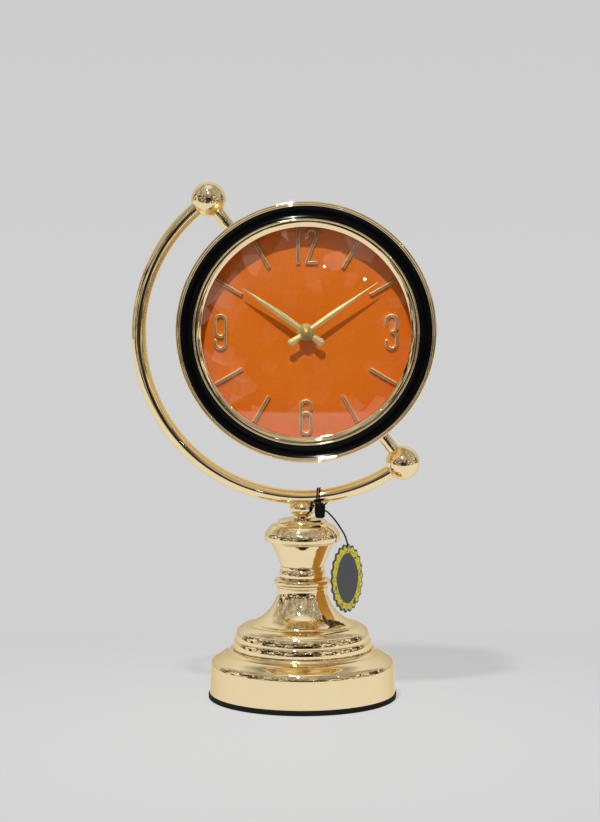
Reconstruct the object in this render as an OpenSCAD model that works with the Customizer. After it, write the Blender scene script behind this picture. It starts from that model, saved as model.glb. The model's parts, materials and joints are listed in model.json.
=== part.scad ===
// Table clock: a round gimballed clock on a turned foot.
// Origin: centre of the foot pad's underside. +Z is up, and the dial faces -Y.

/* [Foot] */
// Thickness of the foot pad
pad_t = 2.8; // [2:0.1:4]
// Diameter of the plinth at its lower edge
plinth_d = 109.4; // [104:0.2:120]
// Height of the plinth
plinth_h = 26.1; // [24:0.1:30]
// Diameter of the bell foot
bell_d = 83.6; // [78:0.2:86]
// Height of the bell foot
bell_h = 36.3; // [32:0.1:42]
// Diameter of the neck ring
ring_d = 34; // [32:0.2:38]
// Height of the neck ring
ring_h = 12.3; // [10:0.1:15]
// Diameter of the cup at its rim
cup_d = 46; // [42:0.2:50]
// Height of the cup
cup_h = 14.5; // [12:0.1:18]
// Height of the cup's cap
cap_h = 13.2; // [11:0.1:15]
// Diameter of the finial's bead
bead_d = 15.2; // [14:0.1:18]
// Height of the finial
finial_h = 10.6; // [9:0.1:12.5]
// Wall of the hollow foot pieces
foot_wall = 3; // [2:0.1:4]
// Thickness of the bottom plate
plate_t = 1.5; // [1:0.1:2.5]
// Height of the weight's straight side
weight_h = 13.5; // [10:0.1:15]

/* [Tie rod] */
// Diameter of the tie rod
rod_d = 6; // [5:0.1:7]
// Diameter of the rod's threaded end in the arm
rod_tip_d = 4; // [3:0.1:4.4]
// Width of the tie nut across its flats
nut_w = 10; // [9:0.1:12]
// Thickness of the tie nut
nut_t = 5; // [4:0.1:6]
// Thickness of the washer under the nut
washer_t = 1; // [0.8:0.1:1.6]

/* [Arm] */
// Clear space between the case's rim and the arm
arm_gap = 16.3; // [13:0.1:25]
// Diameter of the arm's bar
bar_d = 8.4; // [7:0.1:10]
// Angle by which each end of the arm passes the half circle
arm_overrun = 1.5; // [0.5:0.1:3]
// Lean of the swivel axis over the horizontal
swivel_lean = 53.6; // [45:0.1:60]
// Diameter of the balls at the arm's ends
ball_d = 20; // [18:0.1:23]
// Diameter of the sleeves between the balls and the case
sleeve_d = 7.4; // [6.5:0.1:9]
// Diameter of the pivot pins
pin_d = 4; // [3:0.1:4.6]

/* [Case] */
// Diameter of the case at its rim
case_d = 150; // [144:0.5:156]
// Depth of the case
case_depth = 38; // [37.6:0.1:42]
// Wall of the case
case_wall = 1.6; // [1.2:0.1:2.2]
// Width of the front rings, from the rim to the opening over the dial
front_w = 14.5; // [13.5:0.1:16.5]
// Width of the gold inner bezel
bezel_w = 4.7; // [4.2:0.1:5.4]
// Depth of the dial behind the lip
dial_sink = 15; // [14.4:0.1:15.4]
// Rise of the domed glass
glass_rise = 6; // [5:0.1:8]
// Thickness of the glass
glass_t = 1.8; // [1.4:0.1:2.2]
// Space between the movement and the edge of the rear cover's window
window_gap = 2; // [1:0.1:4]

/* [Dial] */
// Thickness of the dial plate
dial_t = 1; // [0.6:0.1:1.2]
// Height of a numeral, over its stroke's centre line
numeral_h = 19.2; // [17:0.1:20]
// Width of a digit, over its stroke's centre line
numeral_w = 5.8; // [5:0.1:6.4]
// Width of a numeral's stroke
stroke_w = 1.7; // [1.2:0.1:2]
// Thickness of the numerals and bars
stroke_t = 2.2; // [1.4:0.1:2.6]
// Distance of the numerals' centres from the opening's edge
numeral_in = 10.9; // [10.5:0.1:13.5]
// Length of an hour bar
bar_l = 17.6; // [14:0.1:18.4]
// Width of an hour bar
hour_bar_w = 2.2; // [1.6:0.1:2.6]
// Length of the minute hand from the centre
minute_l = 50; // [44:0.5:52]
// Length of the hour hand from the centre
hour_l = 44; // [36:0.5:46]
// Length of the hands' tails
tail_l = 12.4; // [10:0.1:14]
// Height of the hour hand over the dial
hand_lift = 8; // [7.6:0.1:8.6]
// Minutes past ten that the hands show
shown_minutes = 9.2; // [0:0.1:59]

/* [Movement] */
// Thickness of the movement
mov_t = 16; // [16:0.1:16.4]
// Wall of the movement's case
mov_wall = 1.2; // [1:0.05:1.3]
// Distance of each arbor from the centre of the movement
train_a = 9.6; // [9.4:0.05:9.8]
// Thickness of a wheel
wheel_t = 0.9; // [0.7:0.05:1]
// Diameter of the battery
battery_d = 14.5; // [14:0.1:14.5]
// Length of the battery with its nub
battery_l = 50.5; // [49:0.1:50.5]
// Length of the battery's spring, pressed
spring_l = 1.5; // [1.5:0.1:3]
// Diameter of the setting knob
knob_d = 12; // [9:0.1:14]

/* [Swing tag] */
// Height of the swing tag
tag_h = 41; // [36:0.5:44]
// Width of the swing tag
tag_w = 30.5; // [26:0.5:34]
// Thickness of the swing tag
tag_t = 1.2; // [0.8:0.1:2]
// Diameter of the tag's string
string_d = 1; // [0.8:0.1:1.2]

/* [Hidden] */
$fn = 72;

gold = [0.83, 0.68, 0.38];
steel = [0.72, 0.73, 0.74];
black = [0.04, 0.04, 0.05];
orange = [0.80, 0.38, 0.08];

// Degrees that one straight piece of a drawn arc covers
arc_step = 15;
// How far a cut runs past the face that it opens
cut_over = 1;

// Clearances
loose_gap = 0.2;
running_gap = 0.05;
end_gap = 0.1;

// The foot's outlines from the bottom up: share of the radius, share of the height, bow
plinth_shares = [
    [1, 0, 0], [0.991, 0.62, 0.1], [0.983, 0.695, 0.24], [0.945, 0.785, 0.06],
    [0.83, 0.925, -0.2], [0.78, 0.985, 0], [0.78, 1, 0]
];
bell_shares = [
    [0.978, 0, 0.28], [0.962, 0.149, 0], [0.95, 0.152, 0], [0.95, 0.163, 0.28],
    [0.925, 0.292, 0], [0.915, 0.295, 0], [0.918, 0.31, 0.2], [0.777, 0.397, -0.3],
    [0.709, 0.43, -0.25], [0.354, 0.905, 0], [0.354, 0.973, 0], [0.364, 1, 0]
];
ring_shares = [
    [0.88, 0, 0], [0.88, 0.09, 0], [0.9, 0.1, 0.75], [0.9, 0.4, 0], [0.815, 0.43, 0],
    [0.815, 0.445, 0.35], [0.815, 0.85, 0], [0.8, 0.87, 0], [0.8, 1, 0]
];
cup_shares = [[0.61, 0, -0.06], [0.9, 0.955, 0], [0.9, 1, 0]];
cap_shares = [
    [0.915, 0, 0.35], [0.955, 0.045, 0], [0.96, 0.06, 0.4], [0.885, 0.44, 0],
    [0.87, 0.455, -0.22], [0.63, 0.7, 0], [0.63, 0.715, 0.4], [0.555, 0.965, 0], [0.535, 1, 0]
];
finial_shares = [
    [0.68, 0, 0], [0.66, 0.17, 0.1], [0.7, 0.24, 0.62], [0.7, 0.94, 0.2], [0.55, 1, 0]
];

case_r = case_d / 2;
arm_r = case_r + arm_gap + bar_d / 2;
plinth_z = pad_t;
bell_z = plinth_z + plinth_h;
ring_z = bell_z + bell_h;
cup_z = ring_z + ring_h;
cap_z = cup_z + cup_h;
finial_z = cap_z + cap_h;
pad_r = plinth_d / 2 + loose_gap * 3;
rod_hole_r = rod_d / 2 + loose_gap;
washer_r = nut_w * 0.95;

// The weight's cavity in the plinth: its straight side and its cone
cavity_r = plinth_d / 2 - foot_wall;
cavity_top_share = 0.68;
cavity_h_share = 0.8;
cavity_h = plinth_h * cavity_h_share;
// Length of the rod's threaded stretch in the bar
rod_grip = 4.4;
// Depth to which the bar sinks into the finial
saddle_sink = 2.1;
arm_z = finial_z + finial_h - saddle_sink + bar_d / 2 + arm_r;

// The swivel axis passes a little beside the arm's centre, because the arm is over a half circle
swivel_off = arm_r * sin(arm_overrun);
case_x = swivel_off * sin(swivel_lean);
case_z = arm_z + swivel_off * cos(swivel_lean);
ball_at = arm_r * cos(arm_overrun);
arm_start = 180 - swivel_lean - arm_overrun;
// Distance from a ball's centre at which the bar ends
bar_stop = 3;
bar_stop_angle = asin(bar_stop / arm_r);
arm_sweep = 180 + 2 * arm_overrun - 2 * bar_stop_angle;

// The case's front rings, and the parts that sit in them
lip_z = case_depth / 2;
rim_w = 2.5;
rim_t = 4.5;
shell_step = 0.6;
shell_r = case_r - shell_step;
shell_in = shell_r - case_wall;
rim_z = lip_z - rim_t;
opening_r = case_r - front_w;
bezel_r = opening_r + bezel_w;
bezel_wall = 1.4;
rebate_r = bezel_r - bezel_wall;
bezel_lip = 2.8;
rebate_z = lip_z - bezel_lip;
ring_edge_drop = 0.8;
glass_r = rebate_r - running_gap;
glass_edge_z = rebate_z - loose_gap * 3;
glass_ball_r = (glass_r * glass_r + glass_rise * glass_rise) / (2 * glass_rise);
glass_ball_z = glass_edge_z + glass_rise - glass_ball_r;
gasket_t = 1.4;
gasket_top = glass_edge_z - glass_t - running_gap;
spacer_top = gasket_top - gasket_t;
spacer_wall = 2.9;
spacer_step = 1;
spacer_r = opening_r + spacer_step + spacer_wall;

// The dial, its shelf in the case and the rear flange
dial_front = lip_z - dial_sink;
dial_back = dial_front - dial_t;
dial_r = spacer_r;
shelf_t = 1.5;
shelf_step = 0.5;
shelf_r = opening_r + shelf_step;
shelf_lip_w = 1.4;
back_z = -lip_z;
back_round = 3;
cover_t = 2;
cover_rim_w = 6.4;
cover_r = shell_r - cover_rim_w;
flange_t = 2;
flange_r = opening_r - shelf_step;
screw_r = (cover_r + flange_r) / 2;
screw_count = 4;
screw_d = 2.2;
screw_head_d = 4.2;
screw_head_t = 1;
screw_slot = 0.6;

// The pivots, measured outward from the middle of the case along the swivel axis
bush_r = 3;
bush_flange_r = 4.2;
bush_flange_t = 0.8;
boss_r = 5;
boss_l = 4.6;
boss_in = shell_in - boss_l;
bush_out = shell_r + shell_step;
spring_t = 0.6;
spring_r = 3.6;
spring_in = boss_in - bush_flange_t - end_gap - spring_t;
head_r = 3.6;
head_t = 1.5;
head_in = spring_in - head_t;
sleeve_in = bush_out + end_gap;
sleeve_seat = 1.8;
sleeve_out = ball_at - ball_d / 2 + sleeve_seat;
pin_end = 3;

// The movement is as wide as its battery, spring, contacts and walls
contact_t = 0.8;
mov_w = battery_l + spring_l + 2 * (contact_t + mov_wall);
inner_w = mov_w - 2 * mov_wall;
window_w = mov_w + 2 * window_gap;

// Movement levels, positive towards the viewer
washer_gap_t = 1;
mov_front = dial_back - washer_gap_t;
mov_back = mov_front - mov_t;
mov_in = mov_front - mov_wall;
cover_in = mov_back + mov_wall;
mov_round = 2;
bay_w = battery_d + 2 * loose_gap;
bay_y = -mov_w / 2 + mov_wall + bay_w;
side_gap = 0.4;
pinion_over = 0.2;
magnet_t = 1.6;
magnet_r = 2.6;
magnet_gap = 0.5;
// The last of the train's levels carries the magnet
last_layer = 6;
layer_p = (mov_in - cover_in - side_gap - magnet_t - magnet_gap) / last_layer;
function layer_top(i) = mov_in - side_gap - i * layer_p;
function layer_foot(i) = layer_top(i) - wheel_t;

// The train: teeth of each wheel and of each pinion
hour_teeth = 40;
motion_leaves = 10;
motion_teeth = 36;
cannon_leaves = 12;
centre_teeth = 60;
third_leaves = 8;
third_teeth = 64;
second_leaves = 8;
second_teeth = 48;
middle_leaves = 8;
middle_teeth = 40;
rotor_leaves = 8;
// Directions of the arbors, seen from the front
motion_at = 180;
third_at = 75;
middle_at = -30;
rotor_at = 20;
rotor_a = 6;
third_pos = train_a * [cos(third_at), sin(third_at)];
middle_pos = train_a * [cos(middle_at), sin(middle_at)];
motion_pos = train_a * [cos(motion_at), sin(motion_at)];
rotor_pos = middle_pos + rotor_a * [cos(rotor_at), sin(rotor_at)];

// Teeth: a wheel's tooth stands low and a pinion's leaf stands high, as in a clock
pressure = 20;
wheel_add_share = 0.45;
wheel_ded_share = 1.25;
leaf_add_share = 1;
leaf_ded_share = 0.7;
play_share = 0.16;

arbor_r = 0.5;
motion_arbor_r = 0.6;
pivot_depth = 0.6;
centre_arbor_r = 0.8;
centre_hub_r = 1.6;
cannon_r = 1.4;
hour_pipe_r = 2.1;
bush_thread_r = 3.2;
bush_thread_l = 6.6;
dial_nut_r = 4.6;
dial_nut_t = 1.8;

// The hands
hour_hand_z = dial_front + hand_lift;
hand_t = 0.9;
hand_gap = 0.7;
minute_hand_z = hour_hand_z + hand_t + hand_gap;
hand_edge_t = 0.3;
minute_hub_r = 3.4;
hour_hub_r = 4;
minute_w = 3.2;
hour_w = 3.8;
hour_root_w = 2.6;
tip_w = 0.5;
tail_root_w = 2.6;
hour_wide_share = 0.45;
minute_wide_share = 0.14;
ridge_w = 0.1;
hand_nut_r = 2.4;
hand_nut_t = 1.2;
dome_r = 1.9;
minute_angle = shown_minutes * 6;
hour_angle = 300 + shown_minutes / 2;

// The coil and its core
coil_r = 3.3;
coil_flange_r = 3.5;
coil_flange_t = 0.8;
coil_l = 18;
coil_side_gap = 1.8;
coil_x = inner_w / 2 - coil_flange_r - coil_side_gap;
coil_y = 9;
core_w = 2.6;
core_end = 3;
post_r = 1.4;
stator_t = 1.1;
stator_lobe_r = 5;
stator_bore = 0.5;
stator_arm_w = 5;
board_w = 33;
board_h = 6;
board_t = 1;
board_gap = 0.8;
board_post_share = 0.4;
chip_r = 2;
chip_t = 0.8;
crystal_r = 1;
crystal_l = 6;
contact_w = 8;
spring_wide_r = 3.6;
nub_r = 2.7;
nub_l = 1.4;
knob_t = 2.2;
knob_gap = 0.4;
knob_ribs = 24;
knob_rib_d = 0.7;

// The swing tag and its string
seal_d = 6.6;
seal_h = 8.2;
seal_round = 1;
seal_pos = [10.2, -6.6, 110.6];
tag_pos = [25.4, -6.2, 71];
tag_turn = 51;
tag_scallops = 22;
tag_scallop_share = 0.035;
tag_hole_r = 1.2;
tag_hole_drop = 2.4;
string_sides = 8;
loop_turns = 2;
loop_x = 8.2;
loop_step = 1.3;
loop_clear = 0.2;
loop_r = bar_d / 2 + string_d / 2 + loop_clear;
loop_points = 12;
// Height of the bar's centre line over the place x
function bar_z(x) = arm_z - sqrt(arm_r * arm_r - x * x);
// The string's two turns round the bar, then its free stretch to the tag
string_loops = [
    for (i = [0 : loop_turns * loop_points])
        let (a = -100 - i * 360 / loop_points, x = loop_x + loop_step * i / loop_points)
            [x, loop_r * cos(a), bar_z(x) + loop_r * sin(a)]
];
string_free = [
    [10.8, -3.4, 112.6], [11, -6, 110.8], [13.6, -7.2, 110.6], [16.4, -7.4, 108.2],
    [19.3, -7.4, 104.8], [22, -7.2, 100.8], [24.3, -7, 97], [25.6, -6.9, 93.6],
    [26.2, -7, 91.2], [26, -6.8, 89.9], [25.4, -6.2, 89.1]
];
string_route = concat(string_loops, string_free);

// Points of the arc from p to q, without q. The bow is the tangent of a quarter of its sweep
function arc_run(p, q, bow) =
    bow == 0 ? [p] :
    let (
        half = (q - p) / 2,
        middle = p + half + [-half[1], half[0]] * (1 - bow * bow) / (2 * bow),
        sweep = 4 * atan(bow),
        count = max(2, ceil(abs(sweep) / arc_step)),
        start = p - middle
    )
    [
        for (i = [0 : count - 1]) let (a = sweep * i / count)
            middle + [start[0] * cos(a) - start[1] * sin(a), start[0] * sin(a) + start[1] * cos(a)]
    ];

// An outline whose rows are radius, height and the bow of the edge that starts there
function outline(rows) = [
    for (i = [0 : len(rows) - 1])
        let (p = rows[i], q = rows[(i + 1) % len(rows)])
            each arc_run([p[0], p[1]], [q[0], q[1]], p[2])
];
function sized(shares, r, h) = [for (s = shares) [s[0] * r, s[1] * h, s[2]]];
function polar(r, a) = [r * cos(a), r * sin(a)];

// A turned piece on the axis
module turned(shares, r, h) {
    rotate_extrude()
        polygon(outline(concat([[0, 0, 0]], sized(shares, r, h), [[0, h, 0]])));
}

module ring(r_out, r_in, z0, z1) {
    translate([0, 0, z0])
        difference() {
            cylinder(r = r_out, h = z1 - z0);
            translate([0, 0, -cut_over])
                cylinder(r = r_in, h = z1 - z0 + 2 * cut_over);
        }
}

module peg(r, z0, z1) {
    translate([0, 0, min(z0, z1)])
        cylinder(r = r, h = abs(z1 - z0));
}

// A foot piece with its hole for the rod
module drilled(h) {
    difference() {
        children();
        peg(rod_hole_r, -cut_over, h + cut_over);
    }
}

// Moves to the middle of the case: x to the right, y up, z towards the viewer
module in_case() {
    translate([case_x, 0, case_z])
        rotate([90, 0, 0])
            children();
}

// Moves to the middle of the case with z outward along the swivel axis, 1 up and -1 down
module on_swivel(side) {
    translate([case_x, 0, case_z])
        rotate([0, swivel_lean - side * 90, 0])
            children();
}

module bar_arc() {
    translate([0, 0, arm_z])
        rotate([90, 0, 0])
            rotate([0, 0, arm_start + bar_stop_angle])
                rotate_extrude(angle = arm_sweep)
                    translate([arm_r, 0])
                        circle(d = bar_d);
}

// Foot pieces
module foot_pad() {
    color(black)
        cylinder(r = pad_r, h = pad_t);
}

module bottom_plate() {
    color(steel)
        translate([0, 0, plinth_z])
            cylinder(r = cavity_r - loose_gap, h = plate_t);
}

// The plinth's inside, which the weight fills but for its clearance
module cavity(gap, foot) {
    top_r = cavity_r * cavity_top_share - gap;
    rotate_extrude()
        polygon([
            [0, foot], [cavity_r - gap, foot], [cavity_r - gap, plate_t + weight_h],
            [top_r, cavity_h], [0, cavity_h]
        ]);
}

module base_weight() {
    color([0.25, 0.25, 0.26])
        translate([0, 0, plinth_z])
            difference() {
                cavity(loose_gap, plate_t);
                peg(rod_hole_r, 0, plinth_h);
                peg(washer_r + loose_gap, 0, plate_t + nut_lift + nut_t + washer_t);
            }
}

module plinth() {
    color(gold)
        translate([0, 0, plinth_z])
            drilled(plinth_h)
                difference() {
                    turned(plinth_shares, plinth_d / 2, plinth_h);
                    cavity(0, -cut_over);
                }
}

module bell_foot() {
    hollow_h_share = 0.3;
    hollow_r_share = 0.63;
    hollow_r = bell_d / 2 * hollow_r_share;
    color(gold)
        translate([0, 0, bell_z])
            drilled(bell_h)
                difference() {
                    turned(bell_shares, bell_d / 2, bell_h);
                    translate([0, 0, -cut_over])
                        cylinder(r = hollow_r, h = cut_over + bell_h * hollow_h_share);
                }
}

module neck_ring() {
    color(gold)
        translate([0, 0, ring_z])
            drilled(ring_h)
                turned(ring_shares, ring_d / 2, ring_h);
}

module cup() {
    color(gold)
        translate([0, 0, cup_z])
            drilled(cup_h)
                turned(cup_shares, cup_d / 2, cup_h);
}

module cup_cap() {
    color(gold)
        translate([0, 0, cap_z])
            drilled(cap_h)
                turned(cap_shares, cup_d / 2, cap_h);
}

// The finial is the saddle on which the bar lies
module finial() {
    color(gold)
        difference() {
            translate([0, 0, finial_z])
                drilled(finial_h)
                    turned(finial_shares, bead_d / 2, finial_h);
            bar_arc();
        }
}

// Rod from the nut in the weight to the threaded hole in the bar
nut_lift = 1;
nut_z = plinth_z + plate_t + nut_lift;
bar_foot_z = arm_z - arm_r - bar_d / 2;
module tie_rod() {
    color(steel)
        union() {
            peg(rod_d / 2, nut_z, bar_foot_z - loose_gap);
            peg(rod_tip_d / 2, bar_foot_z - cut_over, bar_foot_z + rod_grip);
        }
}

module tie_nut() {
    color(steel)
        translate([0, 0, nut_z])
            difference() {
                cylinder(d = nut_w / cos(30), h = nut_t, $fn = 6);
                peg(rod_d / 2, -cut_over, nut_t + cut_over);
            }
}

module tie_washer() {
    color(steel)
        ring(washer_r, rod_hole_r, nut_z + nut_t, nut_z + nut_t + washer_t);
}

// Arm, balls and pivots
module arm() {
    color(gold)
        difference() {
            bar_arc();
            peg(rod_tip_d / 2, bar_foot_z - cut_over, bar_foot_z + rod_grip);
        }
}

module ball(side) {
    color(gold)
        difference() {
            on_swivel(side)
                difference() {
                    translate([0, 0, ball_at])
                        sphere(d = ball_d);
                    peg(pin_d / 2, ball_at - ball_d, ball_at + pin_end);
                    peg(sleeve_d / 2, ball_at - ball_d, sleeve_out);
                }
            bar_arc();
        }
}

module upper_ball() {
    ball(1);
}

module lower_ball() {
    ball(-1);
}

module sleeve(side) {
    color(gold)
        on_swivel(side)
            ring(sleeve_d / 2, pin_d / 2 + end_gap, sleeve_in, sleeve_out);
}

module upper_sleeve() {
    sleeve(1);
}

module lower_sleeve() {
    sleeve(-1);
}

module pivot_pins() {
    color(steel)
        for (side = [1, -1])
            on_swivel(side)
                difference() {
                    union() {
                        peg(pin_d / 2, head_in, ball_at + pin_end);
                        peg(head_r, head_in, head_in + head_t);
                    }
                    translate([-head_r, -screw_slot / 2, head_in - cut_over])
                        cube([2 * head_r, screw_slot, cut_over + head_t / 2]);
                }
}

module spring_washers() {
    color(steel)
        for (side = [1, -1])
            on_swivel(side)
                ring(spring_r, pin_d / 2 + end_gap, spring_in, spring_in + spring_t);
}

module pivot_bushes() {
    color([0.70, 0.50, 0.28])
        for (side = [1, -1])
            on_swivel(side)
                difference() {
                    union() {
                        peg(bush_r, boss_in - bush_flange_t, bush_out);
                        peg(bush_flange_r, boss_in - bush_flange_t, boss_in);
                    }
                    peg(pin_d / 2 + running_gap, head_in, ball_at);
                }
}

// Case shell: a drum with a shelf for the dial and a flange for the rear cover
module case_shell() {
    lip_in = dial_r + running_gap;
    color(gold)
        difference() {
            union() {
                in_case()
                    rotate_extrude()
                        polygon(outline([
                            [shell_in, rim_z, 0],
                            [shell_in, dial_back, 0],
                            [lip_in + shelf_lip_w, dial_back, 0],
                            [lip_in + shelf_lip_w, dial_front, 0],
                            [lip_in, dial_front, 0],
                            [lip_in, dial_back, 0],
                            [shelf_r, dial_back, 0],
                            [shelf_r, dial_back - shelf_t, 0],
                            [shell_in, dial_back - shelf_t, 0],
                            [shell_in, back_z + cover_t + flange_t, 0],
                            [flange_r, back_z + cover_t + flange_t, 0],
                            [flange_r, back_z + cover_t, 0],
                            [cover_r + running_gap, back_z + cover_t, 0],
                            [cover_r + running_gap, back_z, 0],
                            [shell_r - back_round, back_z, tan(22.5)],
                            [shell_r, back_z + back_round, 0],
                            [shell_r, rim_z, 0]
                        ]));
                for (side = [1, -1])
                    on_swivel(side)
                        peg(boss_r, boss_in, shell_in + case_wall / 2);
            }
            for (side = [1, -1])
                on_swivel(side) {
                    peg(bush_r, boss_in - cut_over, bush_out + cut_over);
                    peg(bush_flange_r + loose_gap, shelf_r - cut_over, boss_in);
                }
            in_case()
                screw_places()
                    peg(screw_d / 2, back_z, back_z + cover_t + flange_t + cut_over);
        }
}

module screw_places() {
    for (i = [0 : screw_count - 1])
        rotate([0, 0, (i + 0.5) * 360 / screw_count])
            translate([screw_r, 0, 0])
                children();
}

// Front rings: the rim shows a fine line beside its rounded edge
rim_line_share = 0.36;
rim_round_share = 0.3;
module rim_bezel() {
    r_in = case_r - rim_w;
    split = r_in + rim_w * rim_line_share;
    shoulder_z = lip_z - rim_w * rim_round_share;
    color(gold)
        in_case()
            rotate_extrude()
                polygon(outline([
                    [r_in, rim_z, 0],
                    [case_r, rim_z, 0],
                    [case_r, shoulder_z, 0.8],
                    [split, shoulder_z, 0.6],
                    [r_in, shoulder_z, 0]
                ]));
}

module black_ring() {
    color(black)
        in_case()
            rotate_extrude()
                polygon(outline([
                    [bezel_r, spacer_top, 0],
                    [shell_in - running_gap, spacer_top, 0],
                    [shell_in - running_gap, rim_z, 0],
                    [case_r - rim_w, rim_z, 0],
                    [case_r - rim_w, lip_z - ring_edge_drop, -0.3],
                    [bezel_r, lip_z - ring_edge_drop, 0]
                ]));
}

// Gold inner bezel: a fine line outside, a groove and a wider bead at the opening
line_share = 0.22;
groove_share = 0.16;
groove_drop_share = 1.4;
module inner_bezel() {
    line_w = bezel_w * line_share;
    groove_w = bezel_w * groove_share;
    groove_z = lip_z - ring_edge_drop * groove_drop_share;
    color(gold)
        in_case()
            rotate_extrude()
                polygon(outline([
                    [rebate_r, spacer_top, 0],
                    [bezel_r, spacer_top, 0],
                    [bezel_r, lip_z - ring_edge_drop, 0.7],
                    [bezel_r - line_w, lip_z - ring_edge_drop, 0],
                    [bezel_r - line_w, groove_z, 0],
                    [bezel_r - line_w - groove_w, groove_z, 0.62],
                    [opening_r, lip_z - bezel_lip / 2, 0],
                    [opening_r, rebate_z, 0],
                    [rebate_r, rebate_z, 0]
                ]));
}

module glass() {
    color([0.85, 0.9, 0.92, 0.35])
        in_case()
            intersection() {
                difference() {
                    translate([0, 0, glass_ball_z])
                        sphere(r = glass_ball_r);
                    translate([0, 0, glass_ball_z])
                        sphere(r = glass_ball_r - glass_t);
                }
                peg(glass_r, 0, lip_z + glass_rise);
            }
}

module glass_gasket() {
    color(black)
        in_case()
            ring(rebate_r, opening_r + loose_gap * 2, spacer_top, gasket_top);
}

module dial_spacer() {
    color(orange)
        in_case()
            ring(spacer_r, spacer_r - spacer_wall, dial_front, spacer_top);
}

// Dial, numerals and hour bars
module dial() {
    color(orange)
        in_case()
            ring(dial_r, bush_thread_r + loose_gap, dial_back, dial_front);
}

// Edge of a stroke along a path, on the side given
function edge(path, side) = [
    for (i = [0 : len(path) - 1])
        let (
            before = path[max(i - 1, 0)],
            after = path[min(i + 1, len(path) - 1)],
            run = after - before
        )
        path[i] + side * stroke_w / 2 * [-run[1], run[0]] / norm(run)
];
function reversed(list) = [for (i = [len(list) - 1 : -1 : 0]) list[i]];
function bend(x, y, r, a0, a1) = [
    for (i = [0 : 12]) [x, y] + polar(r, a0 + (a1 - a0) * i / 12)
];
// A stroke with a round start
module stroke(path) {
    run = (path[1] - path[0]) / norm(path[1] - path[0]);
    side = [-run[1], run[0]];
    round_start = [
        for (a = [30 : 30 : 150])
            path[0] - stroke_w / 2 * (side * cos(a) + run * sin(a))
    ];
    polygon(concat(edge(path, 1), reversed(edge(path, -1)), round_start));
}

numeral_r = opening_r - numeral_in;
half_w = numeral_w / 2;
half_h = numeral_h / 2;
// Angles at which a digit's bends stop inside the next stroke
slant_angle = 20;
waist_angle = 75;
bowl_angle = 170;
hook_share = 0.3;
hook_l = numeral_w * hook_share;
thick_share = 1.2;
first_digit_share = 0.8;
second_digit_share = 0.55;
bowl_share = 0.64;
bowl_y = numeral_h * bowl_share - half_h - half_w;

module digit_1() {
    square([stroke_w * thick_share, numeral_h + stroke_w], center = true);
}

module digit_2() {
    stroke(concat(
        [[-half_w, half_h - half_w - hook_l]],
        bend(0, half_h - half_w, half_w, 180, -slant_angle),
        [[-half_w, -half_h]]
    ));
    translate([0, -half_h])
        square([numeral_w + stroke_w, stroke_w], center = true);
}

module digit_3() {
    stroke(concat(
        [[-half_w, half_h - half_w - hook_l]],
        bend(0, half_h - half_w, half_w, 180, 0),
        bend(0, half_w, half_w, 0, -90)
    ));
    stroke(concat(
        [[-half_w, half_w + hook_l - half_h]],
        bend(0, half_w - half_h, half_w, 180, 360),
        bend(0, -half_w, half_w, 0, waist_angle)
    ));
}

module digit_6() {
    stroke(concat(
        [[half_w, half_h - half_w - hook_l]],
        bend(0, half_h - half_w, half_w, 0, 180),
        bend(0, half_w - half_h, half_w, 180, 180 + bowl_angle)
    ));
    stroke(concat(
        [[half_w, half_w - half_h]],
        bend(0, bowl_y, half_w, 0, bowl_angle)
    ));
}

module raised(x, y) {
    color(gold)
        in_case()
            translate([x, y, dial_front])
                linear_extrude(height = stroke_t)
                    children();
}

module numeral_12() {
    raised(-numeral_w * first_digit_share, numeral_r)
        digit_1();
    raised(numeral_w * second_digit_share, numeral_r)
        digit_2();
}

module numeral_3() {
    raised(numeral_r, 0)
        digit_3();
}

module numeral_6() {
    raised(0, -numeral_r)
        digit_6();
}

module numeral_9() {
    raised(-numeral_r, 0)
        rotate(180)
            digit_6();
}

// The hour bars stand as high as the numerals and are round on top
module hour_bars() {
    bar_in = opening_r - bar_l;
    top_r = hour_bar_w / 2;
    for (i = [0 : 11])
        if (i % 3 != 0)
            color(gold)
                in_case()
                    rotate([0, 0, i * 30])
                        translate([bar_in, 0, dial_front])
                            rotate([90, 0, 90])
                                linear_extrude(height = bar_l) {
                                    translate([-top_r, 0])
                                        square([hour_bar_w, stroke_t - top_r]);
                                    translate([0, stroke_t - top_r])
                                        difference() {
                                            circle(r = top_r);
                                            translate([-hour_bar_w, -hour_bar_w])
                                                square([2 * hour_bar_w, hour_bar_w]);
                                        }
                                }
}

// Rear cover and its screws
module rear_cover() {
    color(gold)
        in_case()
            difference() {
                peg(cover_r, back_z, back_z + cover_t);
                translate([-window_w / 2, -window_w / 2, back_z - cut_over])
                    cube([window_w, window_w, cover_t + 2 * cut_over]);
                screw_places() {
                    peg(screw_d / 2 + end_gap, back_z - cut_over, back_z + cover_t + cut_over);
                    peg(screw_head_d / 2 + end_gap, back_z - cut_over, back_z + screw_head_t);
                }
            }
}

module cover_screws() {
    color(steel)
        in_case()
            screw_places()
                difference() {
                    union() {
                        peg(screw_d / 2, back_z, back_z + cover_t + flange_t);
                        peg(screw_head_d / 2, back_z, back_z + screw_head_t);
                    }
                    translate([-screw_head_d, -screw_slot / 2, back_z - cut_over])
                        cube([2 * screw_head_d, screw_slot, cut_over + screw_head_t / 2]);
                }
}

// Movement case: a square box with the threaded bush, open at the back
module rounded_box(x, y, z0, z1, r) {
    translate([0, 0, z0])
        linear_extrude(height = z1 - z0)
            union() {
                square([x, y - 2 * r], center = true);
                square([x - 2 * r, y], center = true);
                for (sx = [-1, 1])
                    for (sy = [-1, 1])
                        translate([sx * (x / 2 - r), sy * (y / 2 - r)])
                            circle(r = r);
            }
}

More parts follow.
